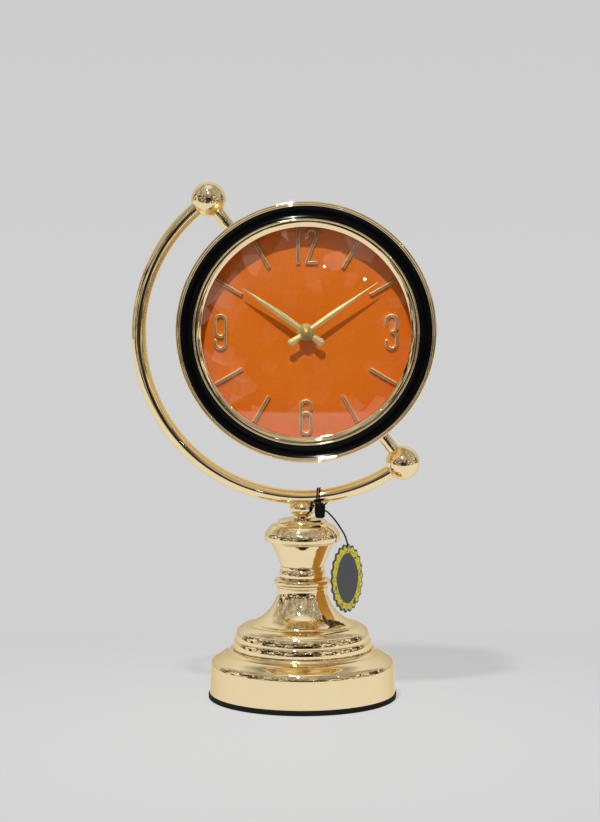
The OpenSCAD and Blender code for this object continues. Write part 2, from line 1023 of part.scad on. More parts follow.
board_y = mov_w / 2 - mov_wall - board_gap - board_h / 2;
board_x = -mov_w / 2 + mov_wall + board_gap + board_w / 2;
stator_top = layer_top(last_layer) + side_gap;
stator_foot = stator_top - stator_t;
post_off = coil_l / 2 + core_end + post_r + side_gap;
post_low = [coil_x, coil_y - post_off];
post_high = [coil_x, coil_y + post_off];

module at(pos) {
    translate([pos[0], pos[1], 0])
        children();
}

module movement_case() {
    color([0.08, 0.08, 0.09])
        in_case()
            difference() {
                union() {
                    difference() {
                        rounded_box(mov_w, mov_w, cover_in, mov_front, mov_round);
                        translate([-inner_w / 2, bay_y + mov_wall, cover_in - cut_over])
                            cube([inner_w, mov_w / 2 - mov_wall - bay_y - mov_wall,
                                mov_in - cover_in + cut_over]);
                        translate([-inner_w / 2, bay_y - bay_w, cover_in - cut_over])
                            cube([inner_w, bay_w, mov_in - cover_in + cut_over]);
                    }
                    peg(bush_thread_r, mov_front, mov_front + bush_thread_l);
                    for (p = [post_low, post_high])
                        at(p)
                            peg(post_r, stator_top, mov_in);
                    for (side = [-1, 1])
                        at([board_x + side * board_w * board_post_share, board_y])
                            peg(post_r, stator_top, mov_in);
                }
                peg(hour_pipe_r + running_gap, mov_in - cut_over, mov_front + bush_thread_l + cut_over);
                bearings(mov_in - cut_over, mov_in + pivot_depth + end_gap);
            }
}

// Blind holes for the arbors' pivots
module bearings(z0, z1) {
    for (p = [third_pos, middle_pos, rotor_pos])
        at(p)
            peg(arbor_r + running_gap, z0, z1);
    at(motion_pos)
        peg(motion_arbor_r + running_gap, z0, z1);
}

module movement_cover() {
    color([0.08, 0.08, 0.09])
        in_case()
            difference() {
                intersection() {
                    rounded_box(mov_w, mov_w, mov_back, cover_in, mov_round);
                    translate([-mov_w, bay_y, mov_back - cut_over])
                        cube([2 * mov_w, mov_w, mov_wall + 2 * cut_over]);
                }
                bearings(cover_in - pivot_depth - end_gap, cover_in + cut_over);
                peg(arbor_r + running_gap, cover_in - pivot_depth - end_gap, cover_in + cut_over);
                at(motion_pos)
                    peg(motion_arbor_r + running_gap, mov_back - cut_over, cover_in + cut_over);
            }
}

module movement_washer() {
    color(black)
        in_case()
            ring(bush_thread_r * 3, bush_thread_r + loose_gap, mov_front, dial_back);
}

module dial_nut() {
    color(gold)
        in_case()
            ring(dial_nut_r, bush_thread_r, dial_front, dial_front + dial_nut_t);
}

// Battery, across the foot of the movement
battery_y = bay_y - bay_w / 2;
battery_z = mov_in - end_gap - battery_d / 2;
battery_end = inner_w / 2 - contact_t;
module battery() {
    color([0.55, 0.56, 0.58])
        in_case()
            translate([battery_end, battery_y, battery_z])
                rotate([0, -90, 0]) {
                    peg(battery_d / 2, nub_l, battery_l);
                    peg(nub_r, 0, nub_l + end_gap);
                }
}

module battery_contacts() {
    color(steel)
        in_case()
            translate([0, battery_y, battery_z]) {
                translate([battery_end, -contact_w / 2, -contact_w / 2])
                    cube([contact_t, contact_w, contact_w]);
                translate([-inner_w / 2, -contact_w / 2, -contact_w / 2])
                    cube([contact_t, contact_w, contact_w]);
                translate([contact_t - inner_w / 2, 0, 0])
                    rotate([0, 90, 0])
                        cylinder(r1 = spring_wide_r, r2 = spring_wide_r / 2, h = spring_l);
            }
}

// Stepping motor: coil with its core, stator and rotor
coil_z = stator_top + coil_flange_r + end_gap;
module coil() {
    core_l = coil_l + 2 * core_end;
    color([0.75, 0.38, 0.14])
        in_case()
            translate([coil_x, coil_y, coil_z])
                union() {
                    rotate([90, 0, 0]) {
                        peg(coil_r, -coil_l / 2, coil_l / 2);
                        peg(coil_flange_r, -coil_l / 2, coil_flange_t - coil_l / 2);
                        peg(coil_flange_r, coil_l / 2 - coil_flange_t, coil_l / 2);
                    }
                    translate([-core_w / 2, -core_l / 2, -core_w / 4])
                        cube([core_w, core_l, core_w / 2]);
                    for (side = [-1, 1])
                        translate([-core_w / 2, side * (core_l - core_w) / 2 - core_w / 2,
                            stator_top - coil_z])
                            cube([core_w, core_w, coil_z - stator_top]);
                }
}

// A straight flat strip from p to q
module strip(p, q, w) {
    run = (q - p) / norm(q - p);
    side = [-run[1], run[0]] * w / 2;
    polygon([p - side, q - side, q + side, p + side]);
}

module stator() {
    color(steel)
        in_case()
            translate([0, 0, stator_foot])
                linear_extrude(height = stator_t)
                    difference() {
                        union() {
                            translate(rotor_pos)
                                circle(r = stator_lobe_r);
                            for (p = [post_low, post_high]) {
                                strip(rotor_pos, p, stator_arm_w - loose_gap);
                                translate(p)
                                    circle(r = stator_arm_w / 2);
                            }
                        }
                        translate(rotor_pos)
                            circle(r = magnet_r + stator_bore);
                    }
}

module circuit_board() {
    color([0.10, 0.30, 0.16])
        in_case()
            translate([board_x, board_y, stator_top - board_t])
                union() {
                    translate([-board_w / 2, -board_h / 2, 0])
                        cube([board_w, board_h, board_t]);
                    peg(chip_r, 0, board_t + chip_t);
                    translate([chip_r * 2, 0, board_t])
                        rotate([0, 90, 0])
                            cylinder(r = crystal_r, h = crystal_l);
                }
}

// Angle of a tooth's flank from its middle, at the radius rho
function unrolled(a) = tan(a) - a * PI / 180;
function flank(n, r, rho, play) =
    (PI / (2 * n) - play / (2 * r) + unrolled(pressure)
        - unrolled(acos(min(1, r * cos(pressure) / rho)))) * 180 / PI;
function toothed(n, m, add, ded, steps) =
    let (r = n * m / 2, foot = r - m * ded, rise = m * (add + ded))
    [
        for (k = [0 : n - 1])
            each concat(
                [for (i = [0 : steps]) let (rho = foot + rise * i / steps)
                    polar(rho, k * 360 / n - flank(n, r, rho, m * play_share))],
                [for (i = [steps : -1 : 0]) let (rho = foot + rise * i / steps)
                    polar(rho, k * 360 / n + flank(n, r, rho, m * play_share))]
            )
    ];
// Turn of the driven gear that puts a gap opposite the driver's tooth
function meshed(driver_turn, direction, n_driver, n_driven) =
    direction + 180 + (0.5 - (driver_turn - direction) * n_driver / 360) * 360 / n_driven;

third_turn = meshed(0, third_at, centre_teeth, third_leaves);
second_turn = meshed(third_turn, third_at + 180, third_teeth, second_leaves);
middle_turn = meshed(second_turn, middle_at, second_teeth, middle_leaves);
rotor_turn = meshed(middle_turn, rotor_at, middle_teeth, rotor_leaves);
motion_turn = meshed(0, motion_at, cannon_leaves, motion_teeth);
hour_turn = meshed(motion_turn, motion_at + 180, motion_leaves, hour_teeth);

module wheel(n, mate, a, layer, turn) {
    m = 2 * a / (n + mate);
    translate([0, 0, layer_foot(layer)])
        rotate([0, 0, turn])
            linear_extrude(height = wheel_t)
                polygon(toothed(n, m, wheel_add_share, wheel_ded_share, 1));
}

module pinion(n, mate, a, layer, turn) {
    m = 2 * a / (n + mate);
    translate([0, 0, layer_foot(layer) - pinion_over])
        rotate([0, 0, turn])
            linear_extrude(height = wheel_t + 2 * pinion_over)
                polygon(toothed(n, m, leaf_add_share, leaf_ded_share, 3));
}

// Round holes that lighten a wheel
module lightened(r, hole_r, count) {
    difference() {
        children();
        for (i = [0 : count - 1])
            rotate([0, 0, i * 360 / count])
                translate([r, 0, 0])
                    peg(hole_r, mov_back, mov_front);
    }
}

arbor_front = mov_in + pivot_depth;
arbor_back = cover_in - pivot_depth;
light_r_share = 0.52;
light_hole_share = 0.2;

module rotor() {
    color([0.30, 0.31, 0.33])
        in_case()
            at(rotor_pos) {
                peg(arbor_r, arbor_back, arbor_front);
                pinion(rotor_leaves, middle_teeth, rotor_a, 5, rotor_turn);
                peg(magnet_r, layer_top(last_layer) - magnet_t, layer_top(last_layer));
            }
}

module middle_wheel() {
    color([0.92, 0.92, 0.88])
        in_case()
            at(middle_pos) {
                peg(arbor_r, arbor_back, arbor_front);
                wheel(middle_teeth, rotor_leaves, rotor_a, 5, middle_turn);
                pinion(middle_leaves, second_teeth, train_a, 4, middle_turn);
            }
}

centre_bore_foot = layer_foot(2) - wheel_t / 2;
centre_bore_depth = 1;
module second_wheel() {
    color([0.92, 0.92, 0.88])
        in_case()
            union() {
                lightened(train_a * light_r_share, train_a * light_hole_share, 5)
                    wheel(second_teeth, middle_leaves, train_a, 4, second_turn);
                pinion(second_leaves, third_teeth, train_a, 3, second_turn);
                peg(arbor_r, arbor_back, centre_bore_foot + centre_bore_depth - end_gap);
            }
}

module third_wheel() {
    color([0.92, 0.92, 0.88])
        in_case()
            at(third_pos) {
                peg(arbor_r, arbor_back, arbor_front);
                lightened(train_a * light_r_share, train_a * light_hole_share, 5)
                    wheel(third_teeth, second_leaves, train_a, 3, third_turn);
                pinion(third_leaves, centre_teeth, train_a, 2, third_turn);
            }
}

// Centre wheel: its arbor turns the cannon pinion by friction, so that the hands can be set
module centre_wheel() {
    cannon_foot = layer_foot(1) - pinion_over - end_gap;
    color(gold)
        in_case()
            difference() {
                union() {
                    lightened(train_a * light_r_share, train_a * light_hole_share, 5)
                        wheel(centre_teeth, third_leaves, train_a, 2, 0);
                    peg(centre_hub_r, centre_bore_foot, cannon_foot);
                    peg(centre_arbor_r, centre_bore_foot, dial_front);
                }
                peg(arbor_r + running_gap, centre_bore_foot - cut_over,
                    centre_bore_foot + centre_bore_depth);
            }
}

minute_top = minute_hand_z + hand_t;
module cannon_pinion() {
    color(gold)
        in_case()
            difference() {
                union() {
                    pinion(cannon_leaves, motion_teeth, train_a, 1, 0);
                    peg(cannon_r, layer_foot(1) - pinion_over, minute_top + hand_nut_t);
                }
                peg(centre_arbor_r + running_gap, layer_foot(2), dial_front + end_gap);
            }
}

module hour_wheel() {
    color(gold)
        in_case()
            difference() {
                union() {
                    wheel(hour_teeth, motion_leaves, train_a, 0, hour_turn);
                    peg(hour_pipe_r, layer_foot(0), hour_hand_z + hand_t);
                }
                peg(cannon_r + running_gap, layer_foot(1), minute_hand_z);
            }
}

// Motion wheel, whose arbor comes out at the back and carries the setting knob
module motion_wheel() {
    color([0.92, 0.92, 0.88])
        in_case()
            at(motion_pos) {
                peg(motion_arbor_r, mov_back - knob_gap - knob_t / 2, arbor_front);
                wheel(motion_teeth, cannon_leaves, train_a, 1, motion_turn);
                pinion(motion_leaves, hour_teeth, train_a, 0, motion_turn);
            }
}

module setting_knob() {
    color(black)
        in_case()
            at(motion_pos)
                difference() {
                    peg(knob_d / 2, mov_back - knob_gap - knob_t, mov_back - knob_gap);
                    for (i = [0 : knob_ribs - 1])
                        rotate([0, 0, i * 360 / knob_ribs])
                            translate([knob_d / 2, 0, 0])
                                peg(knob_rib_d / 2, mov_back - knob_t * 2, mov_back);
                    peg(motion_arbor_r, mov_back - knob_gap - knob_t / 2, mov_back);
                }
}

// A hand's blade or tail: a flat outline that rises to a ridge along its middle
module ridged(points, ridge_from, ridge_to) {
    hull() {
        linear_extrude(height = hand_edge_t)
            polygon(points);
        translate([-ridge_w / 2, ridge_from, 0])
            cube([ridge_w, ridge_to - ridge_from, hand_t]);
    }
}

module hand(length, root_w, wide_w, wide_at_share, hub_r, bore_r) {
    tail_w = wide_w / 2;
    tail_y = tail_w - tail_l;
    difference() {
        union() {
            ridged([
                [-root_w / 2, 0], [root_w / 2, 0], [wide_w / 2, length * wide_at_share],
                [tip_w / 2, length], [-tip_w / 2, length], [-wide_w / 2, length * wide_at_share]
            ], 0, length - wide_w);
            ridged([
                [-tail_root_w / 2, 0], [tail_root_w / 2, 0], [tail_w, tail_y],
                [tail_w / 2, -tail_l], [-tail_w / 2, -tail_l], [-tail_w, tail_y]
            ], tail_y, 0);
            peg(hub_r, 0, hand_t);
        }
        peg(bore_r, -cut_over, hand_t + cut_over);
    }
}

module minute_hand() {
    color(gold)
        in_case()
            translate([0, 0, minute_hand_z])
                rotate([0, 0, -minute_angle])
                    hand(minute_l, minute_w, minute_w, minute_wide_share, minute_hub_r, cannon_r);
}

module hour_hand() {
    color(gold)
        in_case()
            translate([0, 0, hour_hand_z])
                rotate([0, 0, -hour_angle])
                    hand(hour_l, hour_root_w, hour_w, hour_wide_share, hour_hub_r, hour_pipe_r);
}

module hand_nut() {
    color(gold)
        in_case()
            difference() {
                union() {
                    peg(hand_nut_r, minute_top, minute_top + hand_nut_t);
                    intersection() {
                        translate([0, 0, minute_top + hand_nut_t])
                            sphere(r = dome_r);
                        peg(dome_r, minute_top + hand_nut_t / 2, minute_top + hand_nut_t + dome_r);
                    }
                }
                peg(cannon_r, minute_top - cut_over, minute_top + hand_nut_t);
            }
}

// Swing tag on its string
function along(route, i) =
    let (run = route[min(i + 1, len(route) - 1)] - route[max(i - 1, 0)]) run / norm(run);
// The ring's own side direction is kept near the one before, so the tube doesn't twist
function carried(side, run) = let (s = side - run * (side * run)) s / norm(s);
function sides_along(route, i, side) =
    i == len(route) ? [] :
    let (s = carried(side, along(route, i))) concat([s], sides_along(route, i + 1, s));
module tag_string() {
    count = len(string_route);
    sides = sides_along(string_route, 0, [1, 0, 0]);
    rings = [
        for (i = [0 : count - 1])
            let (run = along(string_route, i), u = sides[i], v = cross(run, u))
                for (k = [0 : string_sides - 1])
                    let (a = k * 360 / string_sides)
                        string_route[i] + string_d / 2 * (u * cos(a) + v * sin(a))
    ];
    walls = [
        for (i = [0 : count - 2])
            for (k = [0 : string_sides - 1])
                let (a = i * string_sides, b = (k + 1) % string_sides)
                    each [
                        [a + k, a + string_sides + k, a + b],
                        [a + b, a + string_sides + k, a + string_sides + b]
                    ]
    ];
    last = (count - 1) * string_sides;
    caps = [
        for (k = [1 : string_sides - 2])
            each [[0, k, k + 1], [last, last + k + 1, last + k]]
    ];
    color(black)
        polyhedron(points = rings, faces = concat(walls, caps));
}

module tag_seal() {
    color(black)
        translate(seal_pos)
            rotate_extrude()
                polygon(outline([
                    [0, -seal_h / 2, 0], [seal_d / 2 - seal_round, -seal_h / 2, 0.3],
                    [seal_d / 2, seal_round - seal_h / 2, 0], [seal_d / 2, seal_h / 2 - seal_round, 0.3],
                    [seal_d / 2 - seal_round, seal_h / 2, 0], [0, seal_h / 2, 0]
                ]));
}

module swing_tag() {
    steps = tag_scallops * 4;
    color([0.16, 0.16, 0.15])
        translate(tag_pos)
            rotate([90, 0, tag_turn])
                translate([0, 0, -tag_t / 2])
                    linear_extrude(height = tag_t)
                        difference() {
                            polygon([
                                for (i = [0 : steps - 1])
                                    let (
                                        a = i * 360 / steps,
                                        swell = 1 - tag_scallop_share * (1 - cos(a * tag_scallops))
                                    )
                                    [tag_w / 2 * swell * cos(a), tag_h / 2 * swell * sin(a)]
                            ]);
                            translate([0, tag_h / 2 - tag_hole_drop])
                                circle(r = tag_hole_r);
                        }
}

foot_pad();
bottom_plate();
base_weight();
plinth();
bell_foot();
neck_ring();
cup();
cup_cap();
finial();
tie_rod();
tie_nut();
tie_washer();
arm();
upper_ball();
lower_ball();
upper_sleeve();
lower_sleeve();
pivot_pins();
spring_washers();
pivot_bushes();
case_shell();
rim_bezel();
black_ring();
inner_bezel();
glass();
glass_gasket();
dial_spacer();
dial();
numeral_12();
numeral_3();
numeral_6();
numeral_9();
hour_bars();
rear_cover();
cover_screws();
movement_case();
movement_cover();
movement_washer();
dial_nut();
battery();
battery_contacts();
coil();
stator();
circuit_board();
rotor();
middle_wheel();
second_wheel();
third_wheel();
centre_wheel();
cannon_pinion();
minute_hand();
hand_nut();
hour_wheel();
hour_hand();
motion_wheel();
setting_knob();
tag_string();
tag_seal();
swing_tag();
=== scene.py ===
import json
import bmesh
import bpy
from math import asin, atan, atan2, ceil, copysign, cos, degrees, pi, radians, sin, sqrt, tan
from mathutils import Matrix, Vector, noise


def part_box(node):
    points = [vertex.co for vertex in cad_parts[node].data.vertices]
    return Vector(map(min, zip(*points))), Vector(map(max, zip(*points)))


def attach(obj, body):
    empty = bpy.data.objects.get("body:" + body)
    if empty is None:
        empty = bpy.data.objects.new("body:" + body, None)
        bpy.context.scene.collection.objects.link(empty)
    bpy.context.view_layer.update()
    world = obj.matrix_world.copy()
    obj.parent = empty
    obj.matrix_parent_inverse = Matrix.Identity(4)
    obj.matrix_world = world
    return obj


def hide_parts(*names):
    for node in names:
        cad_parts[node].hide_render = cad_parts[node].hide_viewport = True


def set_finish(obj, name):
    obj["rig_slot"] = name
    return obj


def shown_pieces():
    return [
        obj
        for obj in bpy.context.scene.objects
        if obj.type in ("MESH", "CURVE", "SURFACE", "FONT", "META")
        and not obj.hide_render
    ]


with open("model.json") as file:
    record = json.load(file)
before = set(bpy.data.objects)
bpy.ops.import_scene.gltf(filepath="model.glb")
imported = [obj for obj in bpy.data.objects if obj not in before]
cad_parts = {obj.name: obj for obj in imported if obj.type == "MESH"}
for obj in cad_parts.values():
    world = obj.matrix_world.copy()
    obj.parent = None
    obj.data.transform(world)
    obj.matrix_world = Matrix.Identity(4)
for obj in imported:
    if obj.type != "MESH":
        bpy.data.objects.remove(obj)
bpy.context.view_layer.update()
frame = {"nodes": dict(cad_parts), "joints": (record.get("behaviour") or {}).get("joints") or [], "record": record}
mm = 0.001
tiny = 1e-6
print("frame loaded:", len(frame["nodes"]), "solids")


# Sizes that the frame gives for a node
def middleOf(node):
    low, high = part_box(node)
    return (low + high) / 2


def radiusOf(node):
    low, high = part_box(node)
    return (high.x - low.x) / 2


# How far back and how far forward a node lies
def depthOf(node):
    low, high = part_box(node)
    return -high.y, -low.y


def halfDepth(node):
    back, front = depthOf(node)
    return (front - back) / 2


# The hub of the case, the swivel's axis and the arm's circle
joints = {joint["name"]: joint for joint in frame["joints"]}
hub = Vector(joints["case_swivel"]["pos_m"])
swivelAxis = Vector(joints["case_swivel"]["axis"]).normalized()
caseFrame = Matrix.Translation(hub) @ Matrix.Rotation(radians(90), 4, "X")
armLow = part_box("arm")[0]
barRadius = halfDepth("arm")
armRadius = -armLow.x - barRadius
armCentre = Vector((0, 0, armLow.z - armLow.x))
rimRadius = radiusOf("rim_bezel")
rimBack, lipFront = depthOf("rim_bezel")
dialBack, dialFront = depthOf("dial")


def addObject(name, data):
    thing = bpy.data.objects.new(name, data)
    bpy.context.scene.collection.objects.link(thing)
    return thing


# The camera
cameraView = {"place": (-0.0015, -1.133, 0.2404), "pitch": -3.63, "roll": 0.02, "lens": 85}


def addCamera(view):
    data = bpy.data.cameras.new("camera")
    data.lens = view["lens"]
    camera = addObject("camera", data)
    pitch = Matrix.Rotation(radians(90 + view["pitch"]), 4, "X")
    roll = Matrix.Rotation(radians(view["roll"]), 4, "Z")
    camera.matrix_world = Matrix.Translation(view["place"]) @ (pitch @ roll)
    bpy.context.scene.camera = camera


addCamera(cameraView)


# Mesh helpers
def makePiece(name, verts, faces, body, slot, node, sharp=32):
    mesh = bpy.data.meshes.new(name)
    mesh.from_pydata([tuple(v) for v in verts], [], faces)
    clean = bmesh.new()
    clean.from_mesh(mesh)
    bmesh.ops.remove_doubles(clean, verts=clean.verts, dist=1e-7)
    bmesh.ops.recalc_face_normals(clean, faces=clean.faces)
    clean.to_mesh(mesh)
    clean.free()
    mesh.shade_smooth()
    mesh.set_sharp_from_angle(angle=radians(sharp))
    piece = addObject(name, mesh)
    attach(piece, body)
    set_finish(piece, slot)
    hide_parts(node)
    return piece


# Points of the arc from p to q, without q; the bow is the tangent of a quarter of its sweep
def arcRun(p, q, bow, step=5):
    if bow == 0:
        return [p]
    half = (q - p) / 2
    middle = p + half + Vector((-half.y, half.x)) * (1 - bow * bow) / (2 * bow)
    sweep = 4 * atan(bow)
    count = max(3, ceil(abs(degrees(sweep)) / step))
    start = p - middle
    return [middle + Matrix.Rotation(sweep * i / count, 2) @ start for i in range(count)]


# A closed outline whose rows are radius, height and the bow of the edge that starts there
def outline(rows):
    points = []
    for row, following in zip(rows, rows[1:] + rows[:1]):
        points += arcRun(Vector(row[:2]), Vector(following[:2]), row[2])
    return points


def ringRows(inner, outer, back, front):
    return [(inner, back, 0), (outer, back, 0), (outer, front, 0), (inner, front, 0)]


# The outline with its corners rounded, as a polisher leaves them
def softened(points, radius, least=18, share=0.42):
    result = []
    for before, here, after in zip(points[-1:] + points[:-1], points, points[1:] + points[:1]):
        back, ahead = before - here, after - here
        short = here.x < tiny or min(back.length, ahead.length) < tiny
        if short or 180 - degrees(back.angle(ahead)) < least:
            result.append(here)
            continue
        cut = min(radius, share * back.length, share * ahead.length)
        a, b = here + back.normalized() * cut, here + ahead.normalized() * cut
        result += [a.lerp(here, t).lerp(here.lerp(b, t), t) for t in (0, 0.25, 0.5, 0.75, 1)]
    return result


def lathed(points, place=Matrix(), turns=200):
    verts, rings, faces = [], [], []
    for point in points:
        first = len(verts)
        if point.x < tiny:
            verts.append(place @ Vector((0, 0, point.y)))
            rings.append([first])
            continue
        for x, y in roundSection(point.x, turns):
            verts.append(place @ Vector((x, y, point.y)))
        rings.append(list(range(first, first + turns)))
    for ring, following in zip(rings, rings[1:] + rings[:1]):
        for k in range(turns):
            corners = [ring[k % len(ring)], ring[(k + 1) % len(ring)],
                       following[(k + 1) % len(following)], following[k % len(following)]]
            corners = list(dict.fromkeys(corners))
            if len(corners) > 2:
                faces.append(corners)
    return verts, faces


def turnedPiece(name, rows, body, slot, node, place=Matrix(), edge=0.35, turns=200):
    makePiece(name, *lathed(softened(outline(rows), edge * mm), place, turns), body, slot, node)


def roundSection(radius, sides):
    angles = [2 * pi * k / sides for k in range(sides)]
    return [(radius * cos(angle), radius * sin(angle)) for angle in angles]


# Faces between rings of points that follow each other, with both ends closed
def stacked(total, count):
    faces = []
    for first in range(0, total - count, count):
        for k in range(count):
            a, b = first + k, first + (k + 1) % count
            faces.append([a, b, b + count, a + count])
    return faces + [list(range(count))[::-1], list(range(total - count, total))]


# A section carried along a path, scaled at each point
def swept(path, section, scales=None, up=Vector((0, 0, 1))):
    verts = []
    side = None
    for i, point in enumerate(path):
        run = (path[min(i + 1, len(path) - 1)] - path[max(i - 1, 0)]).normalized()
        side = up.cross(run) if side is None else side
        side = (side - run * side.dot(run)).normalized()
        rise = run.cross(side)
        scale = scales[i] if scales else 1
        verts += [point + (side * x + rise * y) * scale for x, y in section]
    return verts, stacked(len(verts), len(section))


def moved(place, verts, faces):
    return [place @ v for v in verts], faces


def joined(*parts):
    verts, faces = [], []
    for partVerts, partFaces in parts:
        faces += [[index + len(verts) for index in face] for face in partFaces]
        verts += partVerts
    return verts, faces


# The tag's string: its loops round the bar, then its free run down to the tag, in millimetres
string = {
    "diameter": 1.0,
    "sides": 10,
    "loopStart": 8.2,
    "loopStep": 1.3,
    "loopClear": 0.2,
    "loopPoints": 24,
    "loopTurns": 2,
    "loopHeading": -100,
    "free": [
        (10.8, -3.4, 112.6), (11, -6, 110.8), (13.6, -7.2, 110.6), (16.4, -7.4, 108.2),
        (19.3, -7.4, 104.8), (22, -7.2, 100.8), (24.3, -7, 97), (25.6, -6.9, 93.6),
        (26.2, -7, 91.2), (26, -6.8, 89.9), (25.4, -6.2, 89.1),
    ],
    "freeSteps": 4,
}


def stringRoute():
    turnRadius = barRadius + (string["diameter"] / 2 + string["loopClear"]) * mm
    route = []
    for i in range(string["loopTurns"] * string["loopPoints"] + 1):
        angle = radians(string["loopHeading"] - i * 360 / string["loopPoints"])
        x = (string["loopStart"] + string["loopStep"] * i / string["loopPoints"]) * mm
        barZ = armCentre.z - sqrt(armRadius ** 2 - x ** 2)
        route.append(Vector((x, turnRadius * cos(angle), barZ + turnRadius * sin(angle))))
    free = [route[-1]] + [Vector(p) * mm for p in string["free"]]
    for i in range(len(free) - 1):
        a, b = free[max(i - 1, 0)], free[i]
        c, d = free[i + 1], free[min(i + 2, len(free) - 1)]
        for step in range(string["freeSteps"]):
            t = (step + 1) / string["freeSteps"]
            route.append(0.5 * (2 * b + (c - a) * t + (2 * a - 5 * b + 4 * c - d) * t ** 2
                                + (3 * b - a - 3 * c + d) * t ** 3))
    return route


stringWidth = string["diameter"] * mm
route = stringRoute()
stringTube = swept(route, roundSection(stringWidth / 2, string["sides"]), up=Vector((1, 0, 0)))
stringPiece = makePiece("tagString", *stringTube, "stand", "string", "tag_string")


# The foot's turned pieces: the node, its diameter in millimetres, and the profile, as rows of radius share,
# height share and the bow of the edge that starts there
foot = {
    "plinth": ("plinth", 109.4, [
        (1, 0, 0), (0.991, 0.62, 0.1), (0.983, 0.695, 0.24), (0.945, 0.785, 0.06),
        (0.83, 0.925, -0.2), (0.78, 0.985, 0), (0.78, 1, 0),
    ]),
    "bellFoot": ("bell_foot", 83.6, [
        (0.978, 0, 0.11), (0.962, 0.149, 0), (0.95, 0.152, 0), (0.95, 0.163, 0.11),
        (0.925, 0.292, 0), (0.915, 0.295, 0), (0.918, 0.31, 0.2), (0.777, 0.397, -0.3),
        (0.709, 0.43, -0.25), (0.354, 0.905, 0), (0.354, 0.973, 0), (0.364, 1, 0),
    ]),
    "neckRing": ("neck_ring", 34, [
        (0.88, 0, 0), (0.88, 0.09, 0), (0.9, 0.1, 0.75), (0.9, 0.4, 0), (0.78, 0.43, 0),
        (0.785, 0.445, 0.24), (0.76, 0.86, 0), (0.76, 0.87, 0), (0.76, 1, 0),
    ]),
    "cup": ("cup", 46, [(0.56, 0, -0.05), (0.815, 0.93, 0), (0.835, 0.955, 0), (0.835, 1, 0)]),
    "cupCap": ("cup_cap", 46, [
        (0.915, 0, 0.35), (0.955, 0.045, 0), (0.965, 0.06, 0.17), (0.945, 0.42, 0), (0.93, 0.435, 0.08),
        (0.795, 0.73, -0.2), (0.64, 0.83, 0), (0.64, 0.84, 0.28), (0.565, 0.98, 0), (0.545, 1, 0),
    ]),
    "finial": ("finial", 15.2, [
        (0.68, 0, 0), (0.66, 0.17, 0.1), (0.7, 0.24, 0.62), (0.7, 0.94, 0.2), (0.55, 1, 0),
    ]),
}
footPad = {"edge": 0.5}


def addFoot():
    for name, (node, diameter, profile) in foot.items():
        low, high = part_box(node)
        radius, height = diameter * mm / 2, high.z - low.z
        rows = [(share * radius, low.z + rise * height, bow) for share, rise, bow in profile]
        turnedPiece(name, [(0, low.z, 0)] + rows + [(0, high.z, 0)], "stand", "gold", node)
    low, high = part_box("foot_pad")
    rows = ringRows(0, high.x, low.z, high.z)
    turnedPiece("footPad", rows, "stand", "pad", "foot_pad", edge=footPad["edge"])


addFoot()
print("foot turned")


# Arm, balls and sleeves, in millimetres
arm = {"steps": 320, "sides": 48}
ball = {
    "seatDepth": 1.8,
    "seatClear": 0.1,
    "mouthClear": 0.4,
    "lipClear": 0.2,
    "lipDrop": 0.05,
    "steps": 90,
    "turns": 160,
}
sleeve = {"boreRadius": 2.1, "turns": 96}
ballSpots = {1: middleOf("upper_ball"), -1: middleOf("lower_ball")}
ballRadius = halfDepth("lower_ball")
ballDistance = (ballSpots[1] - hub).length
sleeveRadius = halfDepth("upper_sleeve")


# The swivel's axis as height, from the hub up towards the upper ball or down towards the lower one
def axisFrame(side):
    turn = Vector((0, 0, 1)).rotation_difference(swivelAxis * side).to_matrix().to_4x4()
    return Matrix.Translation(hub) @ turn


def addArm():
    start, end = [atan2(ballSpots[side].z - armCentre.z, ballSpots[side].x) for side in (1, -1)]
    sweep = end + 2 * pi - start
    angles = [start + sweep * i / arm["steps"] for i in range(arm["steps"] + 1)]
    path = [armCentre + armRadius * Vector((cos(angle), 0, sin(angle))) for angle in angles]
    bar = swept(path, roundSection(barRadius, arm["sides"]), up=Vector((0, 1, 0)))
    makePiece("arm", *bar, "stand", "gold", "arm")


# A ball with the shallow seat that its sleeve stands in
def addBall(name, node, side):
    seat = ballDistance - (ballRadius - ball["seatDepth"] * mm)
    mouth = asin((sleeveRadius + ball["mouthClear"] * mm) / ballRadius)
    lip = ballDistance - ballRadius * cos(mouth) - ball["lipDrop"] * mm
    angles = [mouth + (pi - mouth) * i / ball["steps"] for i in range(ball["steps"])]
    points = [Vector((ballRadius * sin(a), ballDistance - ballRadius * cos(a))) for a in angles]
    points += [
        Vector((0, ballDistance + ballRadius)),
        Vector((0, seat)),
        Vector((sleeveRadius + ball["seatClear"] * mm, seat)),
        Vector((sleeveRadius + ball["lipClear"] * mm, lip)),
    ]
    makePiece(name, *lathed(points, axisFrame(side), ball["turns"]), "stand", "gold", node)


def addSleeve(name, node, side):
    low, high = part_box(node)
    toAxis = axisFrame(side).inverted()
    reach = [(toAxis @ Vector((x, 0, z))).z for x in (low.x, high.x) for z in (low.z, high.z)]
    centre = (middleOf(node) - hub).length
    half = (max(reach) - min(reach)) / 2 - sleeveRadius * abs(swivelAxis.x * swivelAxis.z) * 2
    rows = ringRows(sleeve["boreRadius"] * mm, sleeveRadius, centre - half, centre + half)
    turnedPiece(name, rows, "stand", "gold", node, axisFrame(side), turns=sleeve["turns"])


addArm()
for side, name in ((1, "upper"), (-1, "lower")):
    addBall(name + "Ball", name + "_ball", side)
    addSleeve(name + "Sleeve", name + "_sleeve", side)
print("arm bent")


